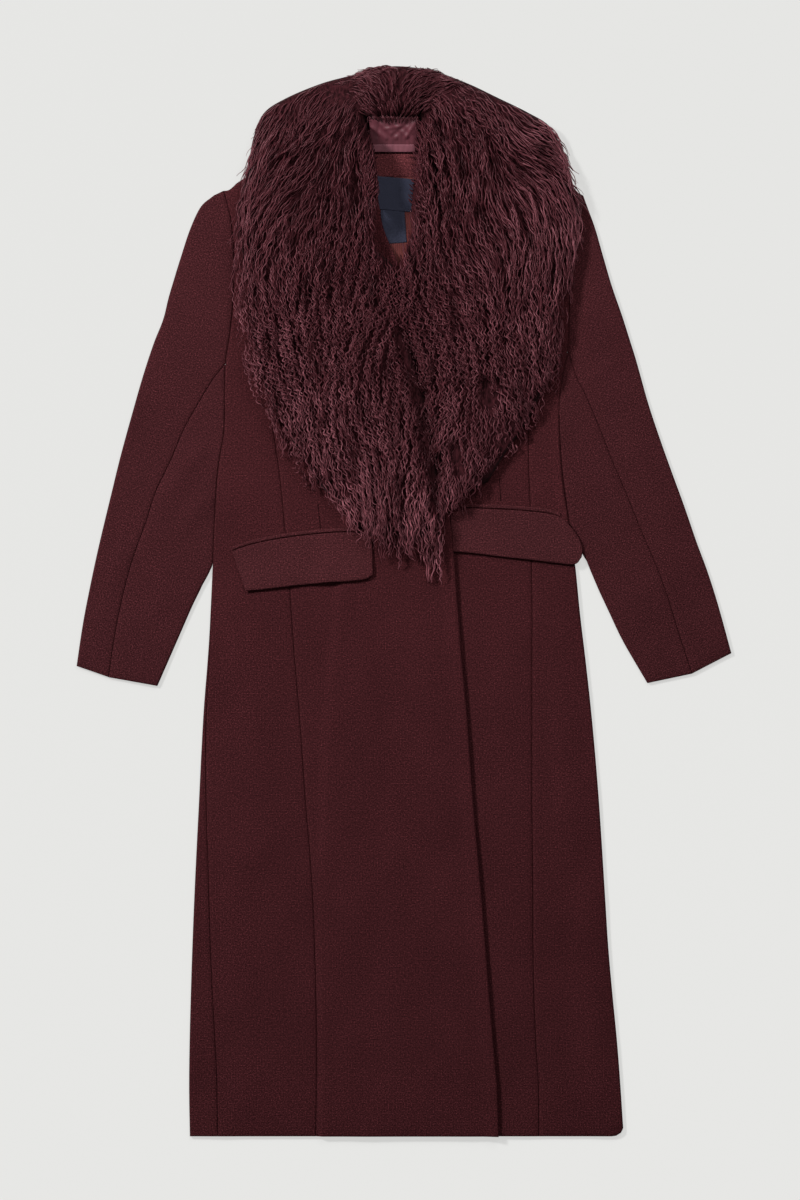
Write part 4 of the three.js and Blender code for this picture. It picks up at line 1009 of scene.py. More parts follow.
def label(name, level):
    """A turned rectangle with rounded edges."""
    spec = LABELS[name]
    u, u_distance = spaced(spec["width"], LABEL_COLUMNS)
    v, v_distance = spaced(spec["depth"], LABEL_COLUMNS)
    uu, vv = np.meshgrid((u - 0.5) * spec["width"], (v - 0.5) * spec["depth"])
    c, s = math.cos(math.radians(spec["turn"])), math.sin(math.radians(spec["turn"]))
    xy = np.dstack([spec["centre"][0] + uu * c - vv * s, spec["centre"][1] + uu * s + vv * c])
    edges = np.minimum(v_distance[:, None], u_distance[None]) * 2
    return thin_wall(name, xy, level + 0 * uu, LABEL, edges, math.radians(spec["turn"]))


# ---- fur ----
FUR = {"innerShare": 0.42, "outerShare": 0.3, "rise": 0.24, "fall": 0.42, "outside": 16, "down": 26,
       "floor": 0.5, "edgeLocks": 0.35}
POCKET_RISE = FLAP_LIFT + FLAP + SMALL_GAP
# Where the pockets lift the fur: from which X and over what distance, and the same for Y.
POCKET_FROM = {"right": (-12, -16, 122, -24), "left": (20, 20, 156, -26)}
OVER_LAP = {"reach": 5, "fade": 16}


def fur_depth(u, depth):
    """Height of the fur over the pelt at share u of a row: it rises steeply from the inner edge,
    is deepest near a third of the way and thins to the tips."""
    up = 1 - (1 - np.clip(u / FUR["rise"], 0, 1)) ** 2
    down = np.maximum(u - FUR["fall"], 0) / (1 - FUR["fall"])
    body = lerp(FUR["innerShare"], 1, up) - (1 - FUR["outerShare"]) * np.minimum(down ** 2, 1.3)
    return depth * body


def fur_base(side, x, y):
    """What carries the fur: the fronts, the pockets' upper edges, then the floor beyond the
    shoulders."""
    if side == "back":
        return np.full(np.broadcast(x, y).shape, FUR["floor"])
    plain = 2 * CLOTH + loft(x, y) + raised(BODY_FOLDS, x, y)
    from_x, over_x, from_y, over_y = POCKET_FROM[side]
    pocket = smooth((x - from_x) / over_x) * smooth((y - from_y) / over_y)
    if side == "right":
        climb = np.clip((x - lap_lines(y)[0] + EASY["before"]) / EASY["over"], 0, 1)
    else:
        yoke = YOKE["right"]
        edge = np.where(y <= BODY_TOP_Y,
                        curve(BODY["y"], BODY["overEdge"], np.clip(y, HEM_Y, BODY_TOP_Y)),
                        curve(yoke["edgeY"], yoke["edgeX"], np.clip(y, *yoke["edgeY"][[0, -1]])))
        climb = 1 - smooth((x - edge - OVER_LAP["reach"]) / OVER_LAP["fade"])
    carried = plain + LAP["rise"] * climb + POCKET_RISE * pocket + FUR_CLEAR
    beyond = (y - shoulder_y(x) - FUR["outside"]) / FUR["down"]
    return lerp(carried, FUR["floor"], smooth(beyond))


def pelt_place(side, r, u):
    """A pelt's plan: a straight line from the inner to the outer edge of row r, at share u."""
    rows = PELT[side]
    keys = np.arange(len(rows["depth"]))
    inner, outer = (curve(keys, plan(rows, name), r) for name in ("inner", "outer"))
    return inner + (outer - inner) * u[..., None], curve(keys, rows["depth"], r)


PELT_SHARE = 0.6            # height of the dense underwool in the fur
PELT_INSET = (0.12, 0.02)   # share by which it stays behind the outer edge: low down, high up
PELT_END = {"right": 2.1, "left": 1.3, "back": -0.34}       # rows at the end that have locks alone
PELT_NET = {"per_row": 7, "columns": 46}
ROUNDED = {"side": 0.05, "end": 0.4}    # share of a row, and rows, over which it is rounded off
FAR_ROWS = 0.44             # the pelts reach past their first rows, to meet each other
ROOT_ROWS = {"right": -0.95, "left": -0.9, "back": -0.2}    # and their locks reach further
SHORT_ROWS = 0.06           # the last locks of a lapel grow this far before its last row
NECK_REACH = {"y": 548, "fade": 12, "reach": 12}     # it fills up to the collar stand from here
UNDER_COLLAR = {"x": -13.5, "half": 34, "height": 0.6}      # and comes down to the lining there
BESIDE_STAND = {"from": -46, "to": 19, "under": 0.7, "least": 2.0}
HIGH_UP = {"y": 400, "fade": 90}
WISPS = {"right": (52, 118), "left": (98, 150), "back": (0, 1)}     # locks thin out over these Y
# Where locks reach further past the edge: x, y, radius, how much further.
TUFTS = [(-126, 152, 24, 20), (-104, 128, 16, 8), (120, 168, 18, 6)]


def high_up(y):
    """0 on the lower part of the lapels, 1 round the neck and over the shoulders."""
    return smooth((y - HIGH_UP["y"]) / HIGH_UP["fade"])


def row_range(side):
    """First and last place along a pelt's rows. It reaches past the rows where it meets another."""
    last = len(PELT[side]["depth"]) - 1
    return -FAR_ROWS, last + (FAR_ROWS if side == "back" else -SHORT_ROWS)


def under_stand(x, y, high):
    """Wool beside the collar stand fills the hollow under it and comes no higher."""
    ceiling = STAND_BASE + STAND_TILT * np.maximum(y - STAND_Y, 0) - BESIDE_STAND["under"]
    beside = ((x > BESIDE_STAND["from"]) & (x < BESIDE_STAND["to"]) & (y > NECK_REACH["y"])
              & (y < STAND_TOP_Y))
    return np.where(beside, np.minimum(high, np.maximum(ceiling, BESIDE_STAND["least"])), high)


def lumps(x, y):
    """Uneven bumps, two to three centimetres apart, from -1 to 1."""
    return np.sin(x / 3.1 + 2 * np.sin(y / 7.3)) * np.sin(y / 4.7 + 1.7 * np.sin(x / 9.1))


def pelt(side, name):
    """The dense underwool: a closed wall from the cloth up, lumpy, drawn in at its edges."""
    first, last = row_range(side)[0], len(PELT[side]["depth"]) - 1 - PELT_END[side]
    r = np.linspace(first, last, int(PELT_NET["per_row"] * (last - first)))
    rr, ss = np.meshgrid(r, np.linspace(0, 1, PELT_NET["columns"]), indexing="ij")
    inner, outer = (pelt_place(side, r, np.full(len(r), u))[0] for u in (0.0, 1.0))
    if side == "back":
        inner_u, inset = np.full(len(r), -0.2), np.zeros(len(r))
    else:
        neck = smooth((inner[:, 1] - NECK_REACH["y"]) / NECK_REACH["fade"])
        inner_u = lerp(0.02, -NECK_REACH["reach"] / np.linalg.norm(outer - inner, axis=1), neck)
        inner_u = inner_u + 1.25 * recess(side, inner[:, 1])
        inset = lerp(*PELT_INSET, high_up(outer[:, 1]))
    uu = lerp(inner_u[:, None], 1 - inset[:, None], ss)
    xy, depth = pelt_place(side, rr, uu)
    x, y = xy[..., 0], xy[..., 1]
    ends = np.minimum(np.minimum(ss, 1 - ss) / ROUNDED["side"],
                      np.minimum(rr - first, last - rr) / ROUNDED["end"])
    round_off = np.sqrt(1 - (1 - np.clip(ends, 0, 1)) ** 2)
    low = fur_base(side, x, y)
    below = np.abs(x - UNDER_COLLAR["x"]) < UNDER_COLLAR["half"]
    below = below * smooth((y - NECK_REACH["y"]) / NECK_REACH["fade"])
    low = np.minimum(low, lerp(low, UNDER_COLLAR["height"], below))
    body = PELT_SHARE * fur_depth(np.maximum(uu, 0), depth) + 1.3 * lumps(x, y)
    high = low + 1.2 + body * round_off
    high = np.maximum(under_stand(x, y, high), low + 0.8)
    return closed_wall(name, np.dstack([xy, high]), np.dstack([xy, low]))


def combed(rows, names, x, y, reach=46):
    """Gaussian-weighted means of a table's columns at places."""
    away = (x[..., None] - rows["x"]) ** 2 + (y[..., None] - rows["y"]) ** 2
    weight = np.exp(-away / (2 * reach ** 2)) + 1e-12
    weight = weight / weight.sum(axis=-1, keepdims=True)
    return [np.sum(weight * rows[name], axis=-1) for name in names]


# Slow waves of the combing: scale across, scale along, phase, angle in radians.
SWIRLS = [(41, 63, 0.3, 0.20), (-29, 47, 2.1, 0.15), (19, -31, 4.4, 0.10)]
RIM = {"reach": 20, "share": 0.85, "low": 250, "high": 370, "pieces": 44, "past": 0.1}
R2_STEPS = (0.7548776662, 0.5698402910)     # of the two-number low-discrepancy sequence
BEND_SHARE = (0.35, 0.9)    # of its bend, what a lock has at its root and gains towards its tip


def flow(side, x, y):
    """Combed direction, turned to and fro by slow waves; near the rim it follows the rim."""
    dx, dy = combed(FLOW[side], ("dx", "dy"), x, y)
    size = np.maximum(np.hypot(dx, dy), 1e-9)
    turn = sum(height * np.sin(x / across + y / down + phase)
               for across, down, phase, height in SWIRLS)
    c, s = np.cos(turn) / size, np.sin(turn) / size
    dx, dy = dx * c - dy * s, dx * s + dy * c
    past, along_x, along_y = rim(side, x, y)
    if side == "back":
        outwards = np.where(x > NECK_X, 1, -1)
        along_x, along_y = along_x * outwards, along_y * outwards
    share = RIM["share"] * smooth(1 + past / RIM["reach"])
    share = share * smooth((y - RIM["low"]) / (RIM["high"] - RIM["low"]))
    dx, dy = lerp(dx, along_x, share), lerp(dy, along_y, share)
    size = np.maximum(np.hypot(dx, dy), 1e-9)
    return dx / size, dy / size


def spread_roots(side, count, start, low_u, high_u, rows=None):
    """Even scatter over a pelt or a band of it: a two-number low-discrepancy sequence, mapped so
    that equal areas get equal numbers of roots."""
    first, last = rows or (ROOT_ROWS[side], row_range(side)[1])
    fine = np.linspace(first, last, FINE)
    inner, outer = (pelt_place(side, fine, np.full(FINE, u))[0] for u in (low_u, high_u))
    across = outer - inner
    area = [np.abs(across[:, 0] * s[:, 1] - across[:, 1] * s[:, 0]) + 1e-3
            for s in (np.gradient(inner, axis=0), np.gradient(outer, axis=0))]
    total = np.cumsum(area[0] + area[1])
    i = np.arange(count) + start
    one, two = ((0.5 + i * step) % 1 for step in R2_STEPS)
    r = np.interp(one * total[-1], total, fine)
    a, b = (np.interp(r, fine, values) for values in area)
    b = b + 1e-3 * (np.abs(b - a) < 1e-3)
    share = (-a + np.sqrt(a * a + (b * b - a * a) * two)) / (b - a)
    return r, low_u + (high_u - low_u) * np.clip(share, 0, 1)


def walk(side, x, y, bend, length, steps):
    """Paths along the combing, each turned by its own bend and grown by its own length."""
    xs, ys = [x], [y]
    for k in range(steps):
        dx, dy = flow(side, x, y)
        turn = bend * (BEND_SHARE[0] + BEND_SHARE[1] * k / steps)
        c, s = np.cos(turn), np.sin(turn)
        x = x + (dx * c - dy * s) * length / steps
        y = y + (dx * s + dy * c) * length / steps
        xs.append(x)
        ys.append(y)
    return np.stack(xs, axis=1), np.stack(ys, axis=1)


def rim(side, x, y):
    """Signed distance past the pelt's outer edge and end, positive outside, and the direction
    that the edge runs in: those of the nearest of its short pieces."""
    last = len(PELT[side]["depth"]) - 1
    fine = np.linspace(-FAR_ROWS, last + RIM["past"], RIM["pieces"])
    line = pelt_place(side, fine, np.ones(len(fine)))[0]
    if side != "back":
        end = pelt_place(side, np.full(4, fine[-1]), np.array([0.75, 0.5, 0.25, 0]))[0]
        line = np.concatenate([line, end])
    a, b = line[:-1], line[1:]
    ab = b - a
    ab_size = np.linalg.norm(ab, axis=1, keepdims=True)
    normal = np.stack([ab[:, 1], -ab[:, 0]], axis=1) / ab_size
    centre = pelt_place(side, np.array([last / 2]), np.array([0.4]))[0][0]
    if np.sum(normal * (a - centre), axis=1).mean() < 0:
        normal = -normal
    px = np.stack([x, y], axis=-1)[..., None, :] - a
    t = np.clip(np.sum(px * ab, axis=-1) / np.sum(ab * ab, axis=-1), 0, 1)
    gap = px - t[..., None] * ab
    square = np.sum(gap ** 2, axis=-1)
    near = np.argmin(square, axis=-1)
    pick = near[..., None]
    side_of = np.take_along_axis(np.sum(px * normal, axis=-1), pick, -1)[..., 0]
    distance = np.sqrt(np.take_along_axis(square, pick, -1)[..., 0]) * np.sign(side_of)
    along = (ab / ab_size)[near]
    return distance, along[..., 0], along[..., 1]


SIDES = 3                   # faces round a lock
SATIN_BOX = {"x": (-45, 18), "y": (STAND_Y - 2, STAND_TOP_Y + 1)}


def satin_top(x, y):
    """Height of what lies on the collar stand, and nothing elsewhere."""
    (x0, x1), (y0, y1) = SATIN_BOX["x"], SATIN_BOX["y"]
    on = (x > x0) & (x < x1) & (y > y0) & (y < y1)
    return np.where(on, STAND_BASE + WELT + 2 * LINING + 2 * SMALL_GAP + STAND_TILT * (y - STAND_Y), 0)


def tubes(path, radius):
    """Closed tubes of three faces along paths: at each point a triangle stands square to the
    path. Gives points and quads, the caps as triangles."""
    count, steps = path.shape[:2]
    tangent = np.gradient(path, axis=1)
    tangent /= np.maximum(np.linalg.norm(tangent, axis=-1, keepdims=True), 1e-9)
    side = np.cross(tangent, [0.0, 0.0, 1.0])
    side /= np.maximum(np.linalg.norm(side, axis=-1, keepdims=True), 1e-6)
    up = np.cross(side, tangent)
    angle = np.pi / 2 + 2 * np.pi * np.arange(SIDES) / SIDES
    ring = (side[:, :, None] * np.cos(angle)[:, None] + up[:, :, None] * np.sin(angle)[:, None])
    points = path[:, :, None] + ring * radius[:, :, None, None]
    first = (np.arange(count) * steps * SIDES)[:, None, None]
    k, j = np.meshgrid(np.arange(steps - 1), np.arange(SIDES), indexing="ij")
    a, b = k * SIDES + j, k * SIDES + (j + 1) % SIDES
    body = np.stack([a, b, b + SIDES, a + SIDES], axis=-1).reshape(1, -1, 4) + first
    end = (steps - 1) * SIDES
    caps = np.array([[0, 2, 1, 1], [end, end + 1, end + 2, end + 2]])[None] + first
    quads = np.concatenate([body.reshape(-1, 4), caps.reshape(-1, 4)])
    return points.reshape(-1, 3), quads


def noise01(i, salt):
    """A repeatable number from 0 to 1 for each whole number."""
    return (np.sin(i * 12.9898 + salt * 78.233) * 43758.5453) % 1


V_RECESS = {"y": 470, "reach": 66, "share": 0.085}   # the right lapel's inner edge is drawn back here


def recess(side, y):
    """Share of a row by which the fur stays behind the pelt's inner edge."""
    bell = 0.5 + 0.5 * np.cos(np.pi * np.clip((y - V_RECESS["y"]) / V_RECESS["reach"], -1, 1))
    return V_RECESS["share"] * bell * (side == "right")


ROOT_BAND = (-0.02, 0.97)   # shares of a row between which locks grow
# How much locks differ from each other: the least and the most share of each measure.
VARY = {"length": (0.72, 1.28), "wave": (0.82, 1.25), "swing": (0.6, 1.3), "height": (0.8, 1.06),
        "width": (0.62, 1.25), "tone": (0.4, 1.3)}
# Random spreads: of the curl, of the bend in radians of a tress and of a lock, of the place in
# millimetres where locks end past the edge, and of the height.
SPREAD = {"curl": 0.14, "tress_bend": 0.5, "bend": 0.26, "edge": 3, "height": 0.2}
LEFT_LOW = 0.45             # share of the locks that is left where they thin out to wisps
TRIAL_STEPS = 12            # steps of the path that finds where a lock has to end
SHORTEST = 0.25             # share of its length that it keeps at least
DRIFT = {"height": 1.6, "wave": 37}     # slow sway along a lock
# Height of a lock, in shares of the fur's: it grows over the first 80 mm from the edge, is lower
# where the locks thin out and at the inner edge, starts at its root share and droops at the tip.
STANDS = {"grows": 80, "low": 0.5, "inner": 0.62, "inner_reach": 0.2, "root": 0.34, "up": 0.4,
          "droop": 0.2, "droop_from": 0.66, "droop_over": 0.34}
LIFT = {"crimp": 0.75, "over_satin": 0.4}       # share of the swing that a crimp has upwards
SINK = {"slope": 0.5, "reach": 12, "floor": 0.3}        # past the edge locks come down to the floor
TAPER = {"root": 0.6, "root_reach": 0.2, "tip": 0.75, "power": 2.2}


def locks(side, kind, look, part=0):
    """Locks of one kind, or one part of them. Each grows from its root along the combing, is drawn
    to the others of its tress towards its tip, rises out of the underwool, and is crimped by a
    sine across and a cosine up, with the same phase all over a tress. Roots whose curl is outside
    the kind's range are left to the other kinds, and low down the locks thin out to wisps."""
    count, steps = kind["counts"][side], kind["steps"]
    band, rows = kind.get("band", {}).get(side, ROOT_BAND), kind.get("rows", {}).get(side)
    r, u = spread_roots(side, count, kind["start"], *band, rows)
    u = u + recess(side, pelt_place(side, r, u)[0][:, 1]) * np.clip(1 - u, 0, 1) ** 6
    root, depth = pelt_place(side, r, u)
    curl, full_length, light = combed(CURLS[side], ("curl", "length", "light"), root[:, 0], root[:, 1])
    i = np.arange(count) + kind["start"]
    curl = np.clip(curl + SPREAD["curl"] * (noise01(i, 16) - 0.5), 0, 1)
    of_part = i % kind["parts"] == part if side != "back" else part == 0
    kept = (curl >= kind["curl"][0]) & (curl < kind["curl"][1]) & of_part
    r, u, root, depth, curl, full_length, light, i = (
        values[kept] for values in (r, u, root, depth, curl, full_length, light, i))
    tress_r, tress_u = spread_roots(side, int(look["tresses"] * kind["counts"][side]), 7, 0.0, 0.97)
    centre = pelt_place(side, tress_r, tress_u)[0]
    tress = np.argmin(np.sum((root[:, None] - centre[None]) ** 2, axis=-1), axis=1)
    most, least = (lerp(a, b, high_up(root[:, 1]))
                   for a, b in zip(look["past"][side], look["past_high"]))
    allowed = lerp(most, least, noise01(tress, 5) ** 1.5)
    for tuft_x, tuft_y, spread, further in TUFTS:
        near = np.clip(np.hypot(root[:, 0] - tuft_x, root[:, 1] - tuft_y) / spread, 0, 1)
        allowed = np.minimum(allowed + further * (1 - near ** 2), np.maximum(allowed, 2))
    thin = smooth((root[:, 1] - WISPS[side][0]) / (WISPS[side][1] - WISPS[side][0]))
    allowed = allowed - look["short"] * (1 - thin)
    kept = (rim(side, root[:, 0], root[:, 1])[0] < allowed) & (noise01(i, 18) < lerp(LEFT_LOW, 1, thin))
    r, u, root, depth, curl, full_length, light, i, tress, allowed, thin = (
        values[kept]
        for values in (r, u, root, depth, curl, full_length, light, i, tress, allowed, thin))
    bend = (SPREAD["tress_bend"] * (noise01(tress, 1) - 0.5)
            + SPREAD["bend"] * (noise01(i, 2) - 0.5))
    length = full_length * kind["length"] * lerp(
        *VARY["length"], 0.5 * noise01(tress, 3) + 0.5 * noise01(i, 4))
    px, py = walk(side, root[:, 0], root[:, 1], bend, length, TRIAL_STEPS)
    beyond = rim(side, px, py)[0]
    out = beyond > allowed[:, None] + SPREAD["edge"] * (noise01(i, 6)[:, None] - 0.5)
    reached = np.where(out.any(axis=1), np.argmax(out, axis=1), TRIAL_STEPS) / TRIAL_STEPS
    length = length * np.clip(reached, SHORTEST, 1)
    px, py = walk(side, root[:, 0], root[:, 1], bend, length, steps)
    s = np.linspace(0, 1, steps + 1)[None]
    pull = look["draw"] * s ** 1.4 * kind["draw"]
    px = px - pull * (root[:, :1] - centre[tress][:, :1])
    py = py - pull * (root[:, 1:] - centre[tress][:, 1:])
    tangent_x, tangent_y = np.gradient(px, axis=1), np.gradient(py, axis=1)
    size = np.maximum(np.hypot(tangent_x, tangent_y), 1e-6)
    wave = lerp(*look["wave"], curl) * lerp(*VARY["wave"], noise01(tress, 7))
    swing = lerp(*look["swing"], curl) * lerp(*VARY["swing"], noise01(tress, 8))
    swing = swing[:, None] * smooth(s * 2.4) * (1 + look["ringlet"] * smooth((s - 0.7) / 0.3))
    phase = 2 * np.pi * (length[:, None] * s / wave[:, None] + noise01(tress, 9)[:, None]
                         + 0.3 * noise01(i, 10)[:, None])
    slow = DRIFT["height"] * s * np.sin(
        2 * np.pi * (s * length[:, None] / DRIFT["wave"] + noise01(tress, 17)[:, None]))
    across = swing * np.sin(phase) + slow
    x = px - tangent_y / size * across
    y = py + tangent_x / size * across
    past = rim(side, x, y)[0]
    away = np.clip(-past / STANDS["grows"], 0, 1)
    full = depth[:, None] * lerp(FUR["outerShare"], 1, 1 - (1 - away) ** 2)
    full = full * lerp(STANDS["low"], 1, thin)[:, None]
    at_inner = lerp(STANDS["inner"], 1, smooth(np.clip(u, 0, 1) / STANDS["inner_reach"]))
    full = full * lerp(at_inner[:, None], 1, smooth(s * 1.2))
    hollow = raised(FUR_HOLLOWS, x, y)
    clumps = raised(FUR_CLUMPS, x, y) + hollow
    full = full + lerp(FUR["edgeLocks"], 1, np.clip(away * 2, 0, 1)) * clumps
    level = lerp(STANDS["root"], 1.0, smooth(s / STANDS["up"]))
    level = level - STANDS["droop"] * smooth((s - STANDS["droop_from"]) / STANDS["droop_over"])
    own = lerp(*VARY["height"], noise01(tress, 11)) + kind["over"]
    own = own + SPREAD["height"] * (noise01(i, 12) - 0.5)
    z = fur_base(side, x, y) + full * level * own[:, None] + LIFT["crimp"] * swing * np.cos(phase)
    z = z - SINK["slope"] * np.clip(past, 0, SINK["reach"])
    z = np.maximum(z, kind["width"] * 0.5 + SINK["floor"])
    crest = LIFT["over_satin"] * swing * (1 + np.cos(phase))
    z = np.maximum(z, satin_top(x, y) + kind["width"] + crest)
    taper = lerp(TAPER["root"], 1, np.clip(s / TAPER["root_reach"], 0, 1))
    taper = taper * (1 - TAPER["tip"] * s ** TAPER["power"])
    radius = kind["width"] / 2 * taper * lerp(*VARY["width"], noise01(i, 13))[:, None]
    points, quads = tubes(np.dstack([x, y, z]), radius)
    tone = 0.5 * noise01(tress, 14) + 0.25 * noise01(i, 15) + 0.25
    # The lightness of the place, which is low along the lapels' parting as painted shade.
    tone = tone * lerp(*VARY["tone"], light)
    repeat = (len(i), steps + 1, SIDES)
    # Painted shade: a lock's tone drops where it lies in one of the hollows.
    tone = np.clip((tone + kind["light"])[:, None] + look["hollow"] * hollow, 0, 1)
    shades = {
        "tone": np.broadcast_to(tone[:, :, None], repeat).ravel(),
        "tip": np.broadcast_to(s[:, :, None], repeat).ravel(),
    }
    return points, quads, shades


# ---- materials ----
def add(tree, kind, settings=None, **links):
    """Adds a shader node, sets its properties and sockets, and links sockets given as outputs.
    Settings that name an input by text or number set its value; others set the node's property."""
    node = tree.nodes.new(kind)
    for key, value in (settings or {}).items():
        if isinstance(key, int) or key in node.inputs:
            node.inputs[key].default_value = value
        else:
            setattr(node, key, value)
    for key, output in links.items():
        name = key.replace("_", " ")
        socket = node.inputs[int(key[1:])] if key[0] == "i" and key[1:].isdigit() else node.inputs[name]
        tree.links.new(output, socket)
    return node


def new_material(name, **surface):
    """A material with its Principled shader, whose constant sockets are set here."""
    material = bpy.data.materials.new(name)
    material.use_nodes = True
    tree = material.node_tree
    tree.nodes.clear()
    shader = add(tree, "ShaderNodeBsdfPrincipled", {k.replace("_", " "): v for k, v in surface.items()})
    add(tree, "ShaderNodeOutputMaterial", Surface=shader.outputs[0])
    return material, tree, shader


def ramp(tree, factor, stops):
    """A colour ramp with the given positions and colours."""
    node = add(tree, "ShaderNodeValToRGB", Fac=factor)
    elements = node.color_ramp.elements
    elements[0].position, elements[0].color = stops[0]
    elements[1].position, elements[1].color = stops[-1]
    for position, color in stops[1:-1]:
        elements.new(position).color = color
    return node.outputs[0]


def scaled(color, factor):
    """A linear colour made lighter or darker."""
    return (*[c * factor for c in tuple(color)[:3]], 1.0)


def surface(tree, shader, color, height, strength, depth_mm):
    """Gives a shader its colour, and its relief from a height."""
    tree.links.new(color, shader.inputs["Base Color"])
    bump = add(tree, "ShaderNodeBump", {"Strength": strength, "Distance": depth_mm * MM},
               Height=height)
    tree.links.new(bump.outputs[0], shader.inputs["Normal"])


BAND = 0.314                # length of one band of a wave texture whose scale is 1
THREAD_MM = 2.0             # real threads are 0.9 mm; drawn coarser so that they show
MELANGE_MM = 1.7            # and real flecks of fibre 0.5 mm


def wool_material(name, color):
    """Wool coating, woven in a small twill from dyed-in-the-fibre yarns and brushed: a matt
    surface with a faint bloom at its edges, a speckle of lighter and darker fibres and threads
    that just show."""
    material, tree, shader = new_material(
        name, Roughness=0.95, Sheen_Weight=0.06, Sheen_Roughness=0.6,
        Sheen_Tint=scaled(color, 6), Specular_IOR_Level=0.03)
    uv = add(tree, "ShaderNodeTexCoord").outputs["UV"]
    threads = []
    for direction in ("X", "Y"):
        wave = add(tree, "ShaderNodeTexWave", {
            "wave_type": "BANDS", "bands_direction": direction, "Scale": BAND / (THREAD_MM * MM),
            "Distortion": 2.6, "Detail": 2.0, "Detail Scale": 2.0}, Vector=uv)
        threads.append(wave.outputs["Fac"])
    weave = add(tree, "ShaderNodeMath", {"operation": "MULTIPLY"}, i0=threads[0], i1=threads[1])
    melange = add(tree, "ShaderNodeTexNoise", {"Scale": 1 / (MELANGE_MM * MM), "Detail": 2.0,
                                              "Roughness": 0.8}, Vector=uv)
    cloud = add(tree, "ShaderNodeTexNoise", {"Scale": 11.0, "Detail": 4.0}, Vector=uv)
    fibre = add(tree, "ShaderNodeTexNoise", {"Scale": 1.1 / MM, "Detail": 2.0}, Vector=uv)
    speckle = ramp(tree, melange.outputs["Fac"], [
        (0.26, scaled(color, 0.15)), (0.44, scaled(color, 0.7)), (0.56, scaled(color, 1.15)),
        (0.72, scaled(color, 3.0))])
    shade = add(tree, "ShaderNodeMapRange", {"From Min": 0.0, "From Max": 0.7, "To Min": 0.78,
                                            "To Max": 1.2}, Value=weave.outputs[0])
    patch = add(tree, "ShaderNodeMapRange", {"From Min": 0.3, "From Max": 0.7, "To Min": 0.92,
                                            "To Max": 1.08}, Value=cloud.outputs["Fac"])
    both = add(tree, "ShaderNodeMath", {"operation": "MULTIPLY"}, i0=shade.outputs[0],
               i1=patch.outputs[0])
    toned = add(tree, "ShaderNodeVectorMath", {"operation": "SCALE"}, i0=speckle,
                Scale=both.outputs[0])
    relief = add(tree, "ShaderNodeMath", {"operation": "MULTIPLY_ADD", 1: 0.6},
                 i0=fibre.outputs["Fac"], i2=weave.outputs[0])
    surface(tree, shader, toned.outputs[0], relief.outputs[0], 0.6, 0.5)
    return material


def fur_material(name, dark, mid, light, tip_light):
    """Curly lamb's wool, dyed and combed: each lock is darker at its root, as painted shade deep in
    the fur, and its crimps catch a soft gloss in the fibre's own colour."""
    material, tree, shader = new_material(
        name, Roughness=0.42, Sheen_Weight=0.05, Sheen_Roughness=0.4, Specular_IOR_Level=0.4,
        Specular_Tint=(0.95, 0.5, 0.56, 1), Sheen_Tint=scaled(light, 1.6))
    tip = add(tree, "ShaderNodeAttribute", {"attribute_name": "tip"}).outputs["Fac"]
    tone = add(tree, "ShaderNodeAttribute", {"attribute_name": "tone"}).outputs["Fac"]
    # Painted shade: along a lock the colour darkens towards its root, deep in the fur.
    along = ramp(tree, tip, [(0.0, scaled(dark, 0.6)), (0.35, dark), (0.75, mid), (1.0, tip_light)])
    tint = ramp(tree, tone, [(0.1, dark), (0.45, mid), (0.8, light), (1.0, scaled(light, 1.5))])
    mixed = add(tree, "ShaderNodeMix", {"data_type": "RGBA", "Factor": 0.6}, i6=along, i7=tint)
    tree.links.new(mixed.outputs[2], shader.inputs["Base Color"])
    return material


def underwool_material(name, dark, mid):
    """The short dense wool under the locks: matt, with a felted grain, and painted much darker than
    the locks as painted shade beneath them.
    """
    material, tree, shader = new_material(name, Roughness=0.95, Sheen_Weight=0.02,
                                          Specular_IOR_Level=0.04)
    place = add(tree, "ShaderNodeTexCoord").outputs["Object"]
    stretch = add(tree, "ShaderNodeMapping", {"Scale": (1.0, 0.28, 1.0)}, Vector=place)
    hair = add(tree, "ShaderNodeTexNoise", {"Scale": 420.0, "Detail": 3.0, "Distortion": 0.6},
               Vector=stretch.outputs[0])
    # Painted shade: the fur's colours darkened to a quarter and to about a half under the locks.
    color = ramp(tree, hair.outputs["Fac"], [(0.35, scaled(dark, 0.25)), (0.72, scaled(mid, 0.55))])
    surface(tree, shader, color, hair.outputs["Fac"], 0.8, 1.2)
    return material


def satin_material(name, color):
    """Polyester satin, smooth and softly glossy, with fine ribs of pulled threads, painted darker and
    lighter along them as painted shade and highlight.
    """
    material, tree, shader = new_material(name, Roughness=0.42, Specular_IOR_Level=0.3,
                                          Sheen_Weight=0.05, Sheen_Roughness=0.3)
    uv = add(tree, "ShaderNodeTexCoord").outputs["UV"]
    stretch = add(tree, "ShaderNodeMapping", {"Rotation": (0, 0, 0.7), "Scale": (1.0, 0.22, 1.0)},
                  Vector=uv)
    pulls = add(tree, "ShaderNodeTexNoise", {"Scale": 160.0, "Detail": 2.0}, Vector=stretch.outputs[0])
    # Painted shade and highlight: the colour falls and rises along the pulled threads.
    shade = ramp(tree, pulls.outputs["Fac"], [(0.3, scaled(color, 0.72)), (0.7, scaled(color, 1.2))])
    surface(tree, shader, shade, pulls.outputs["Fac"], 0.5, 0.6)
    return material


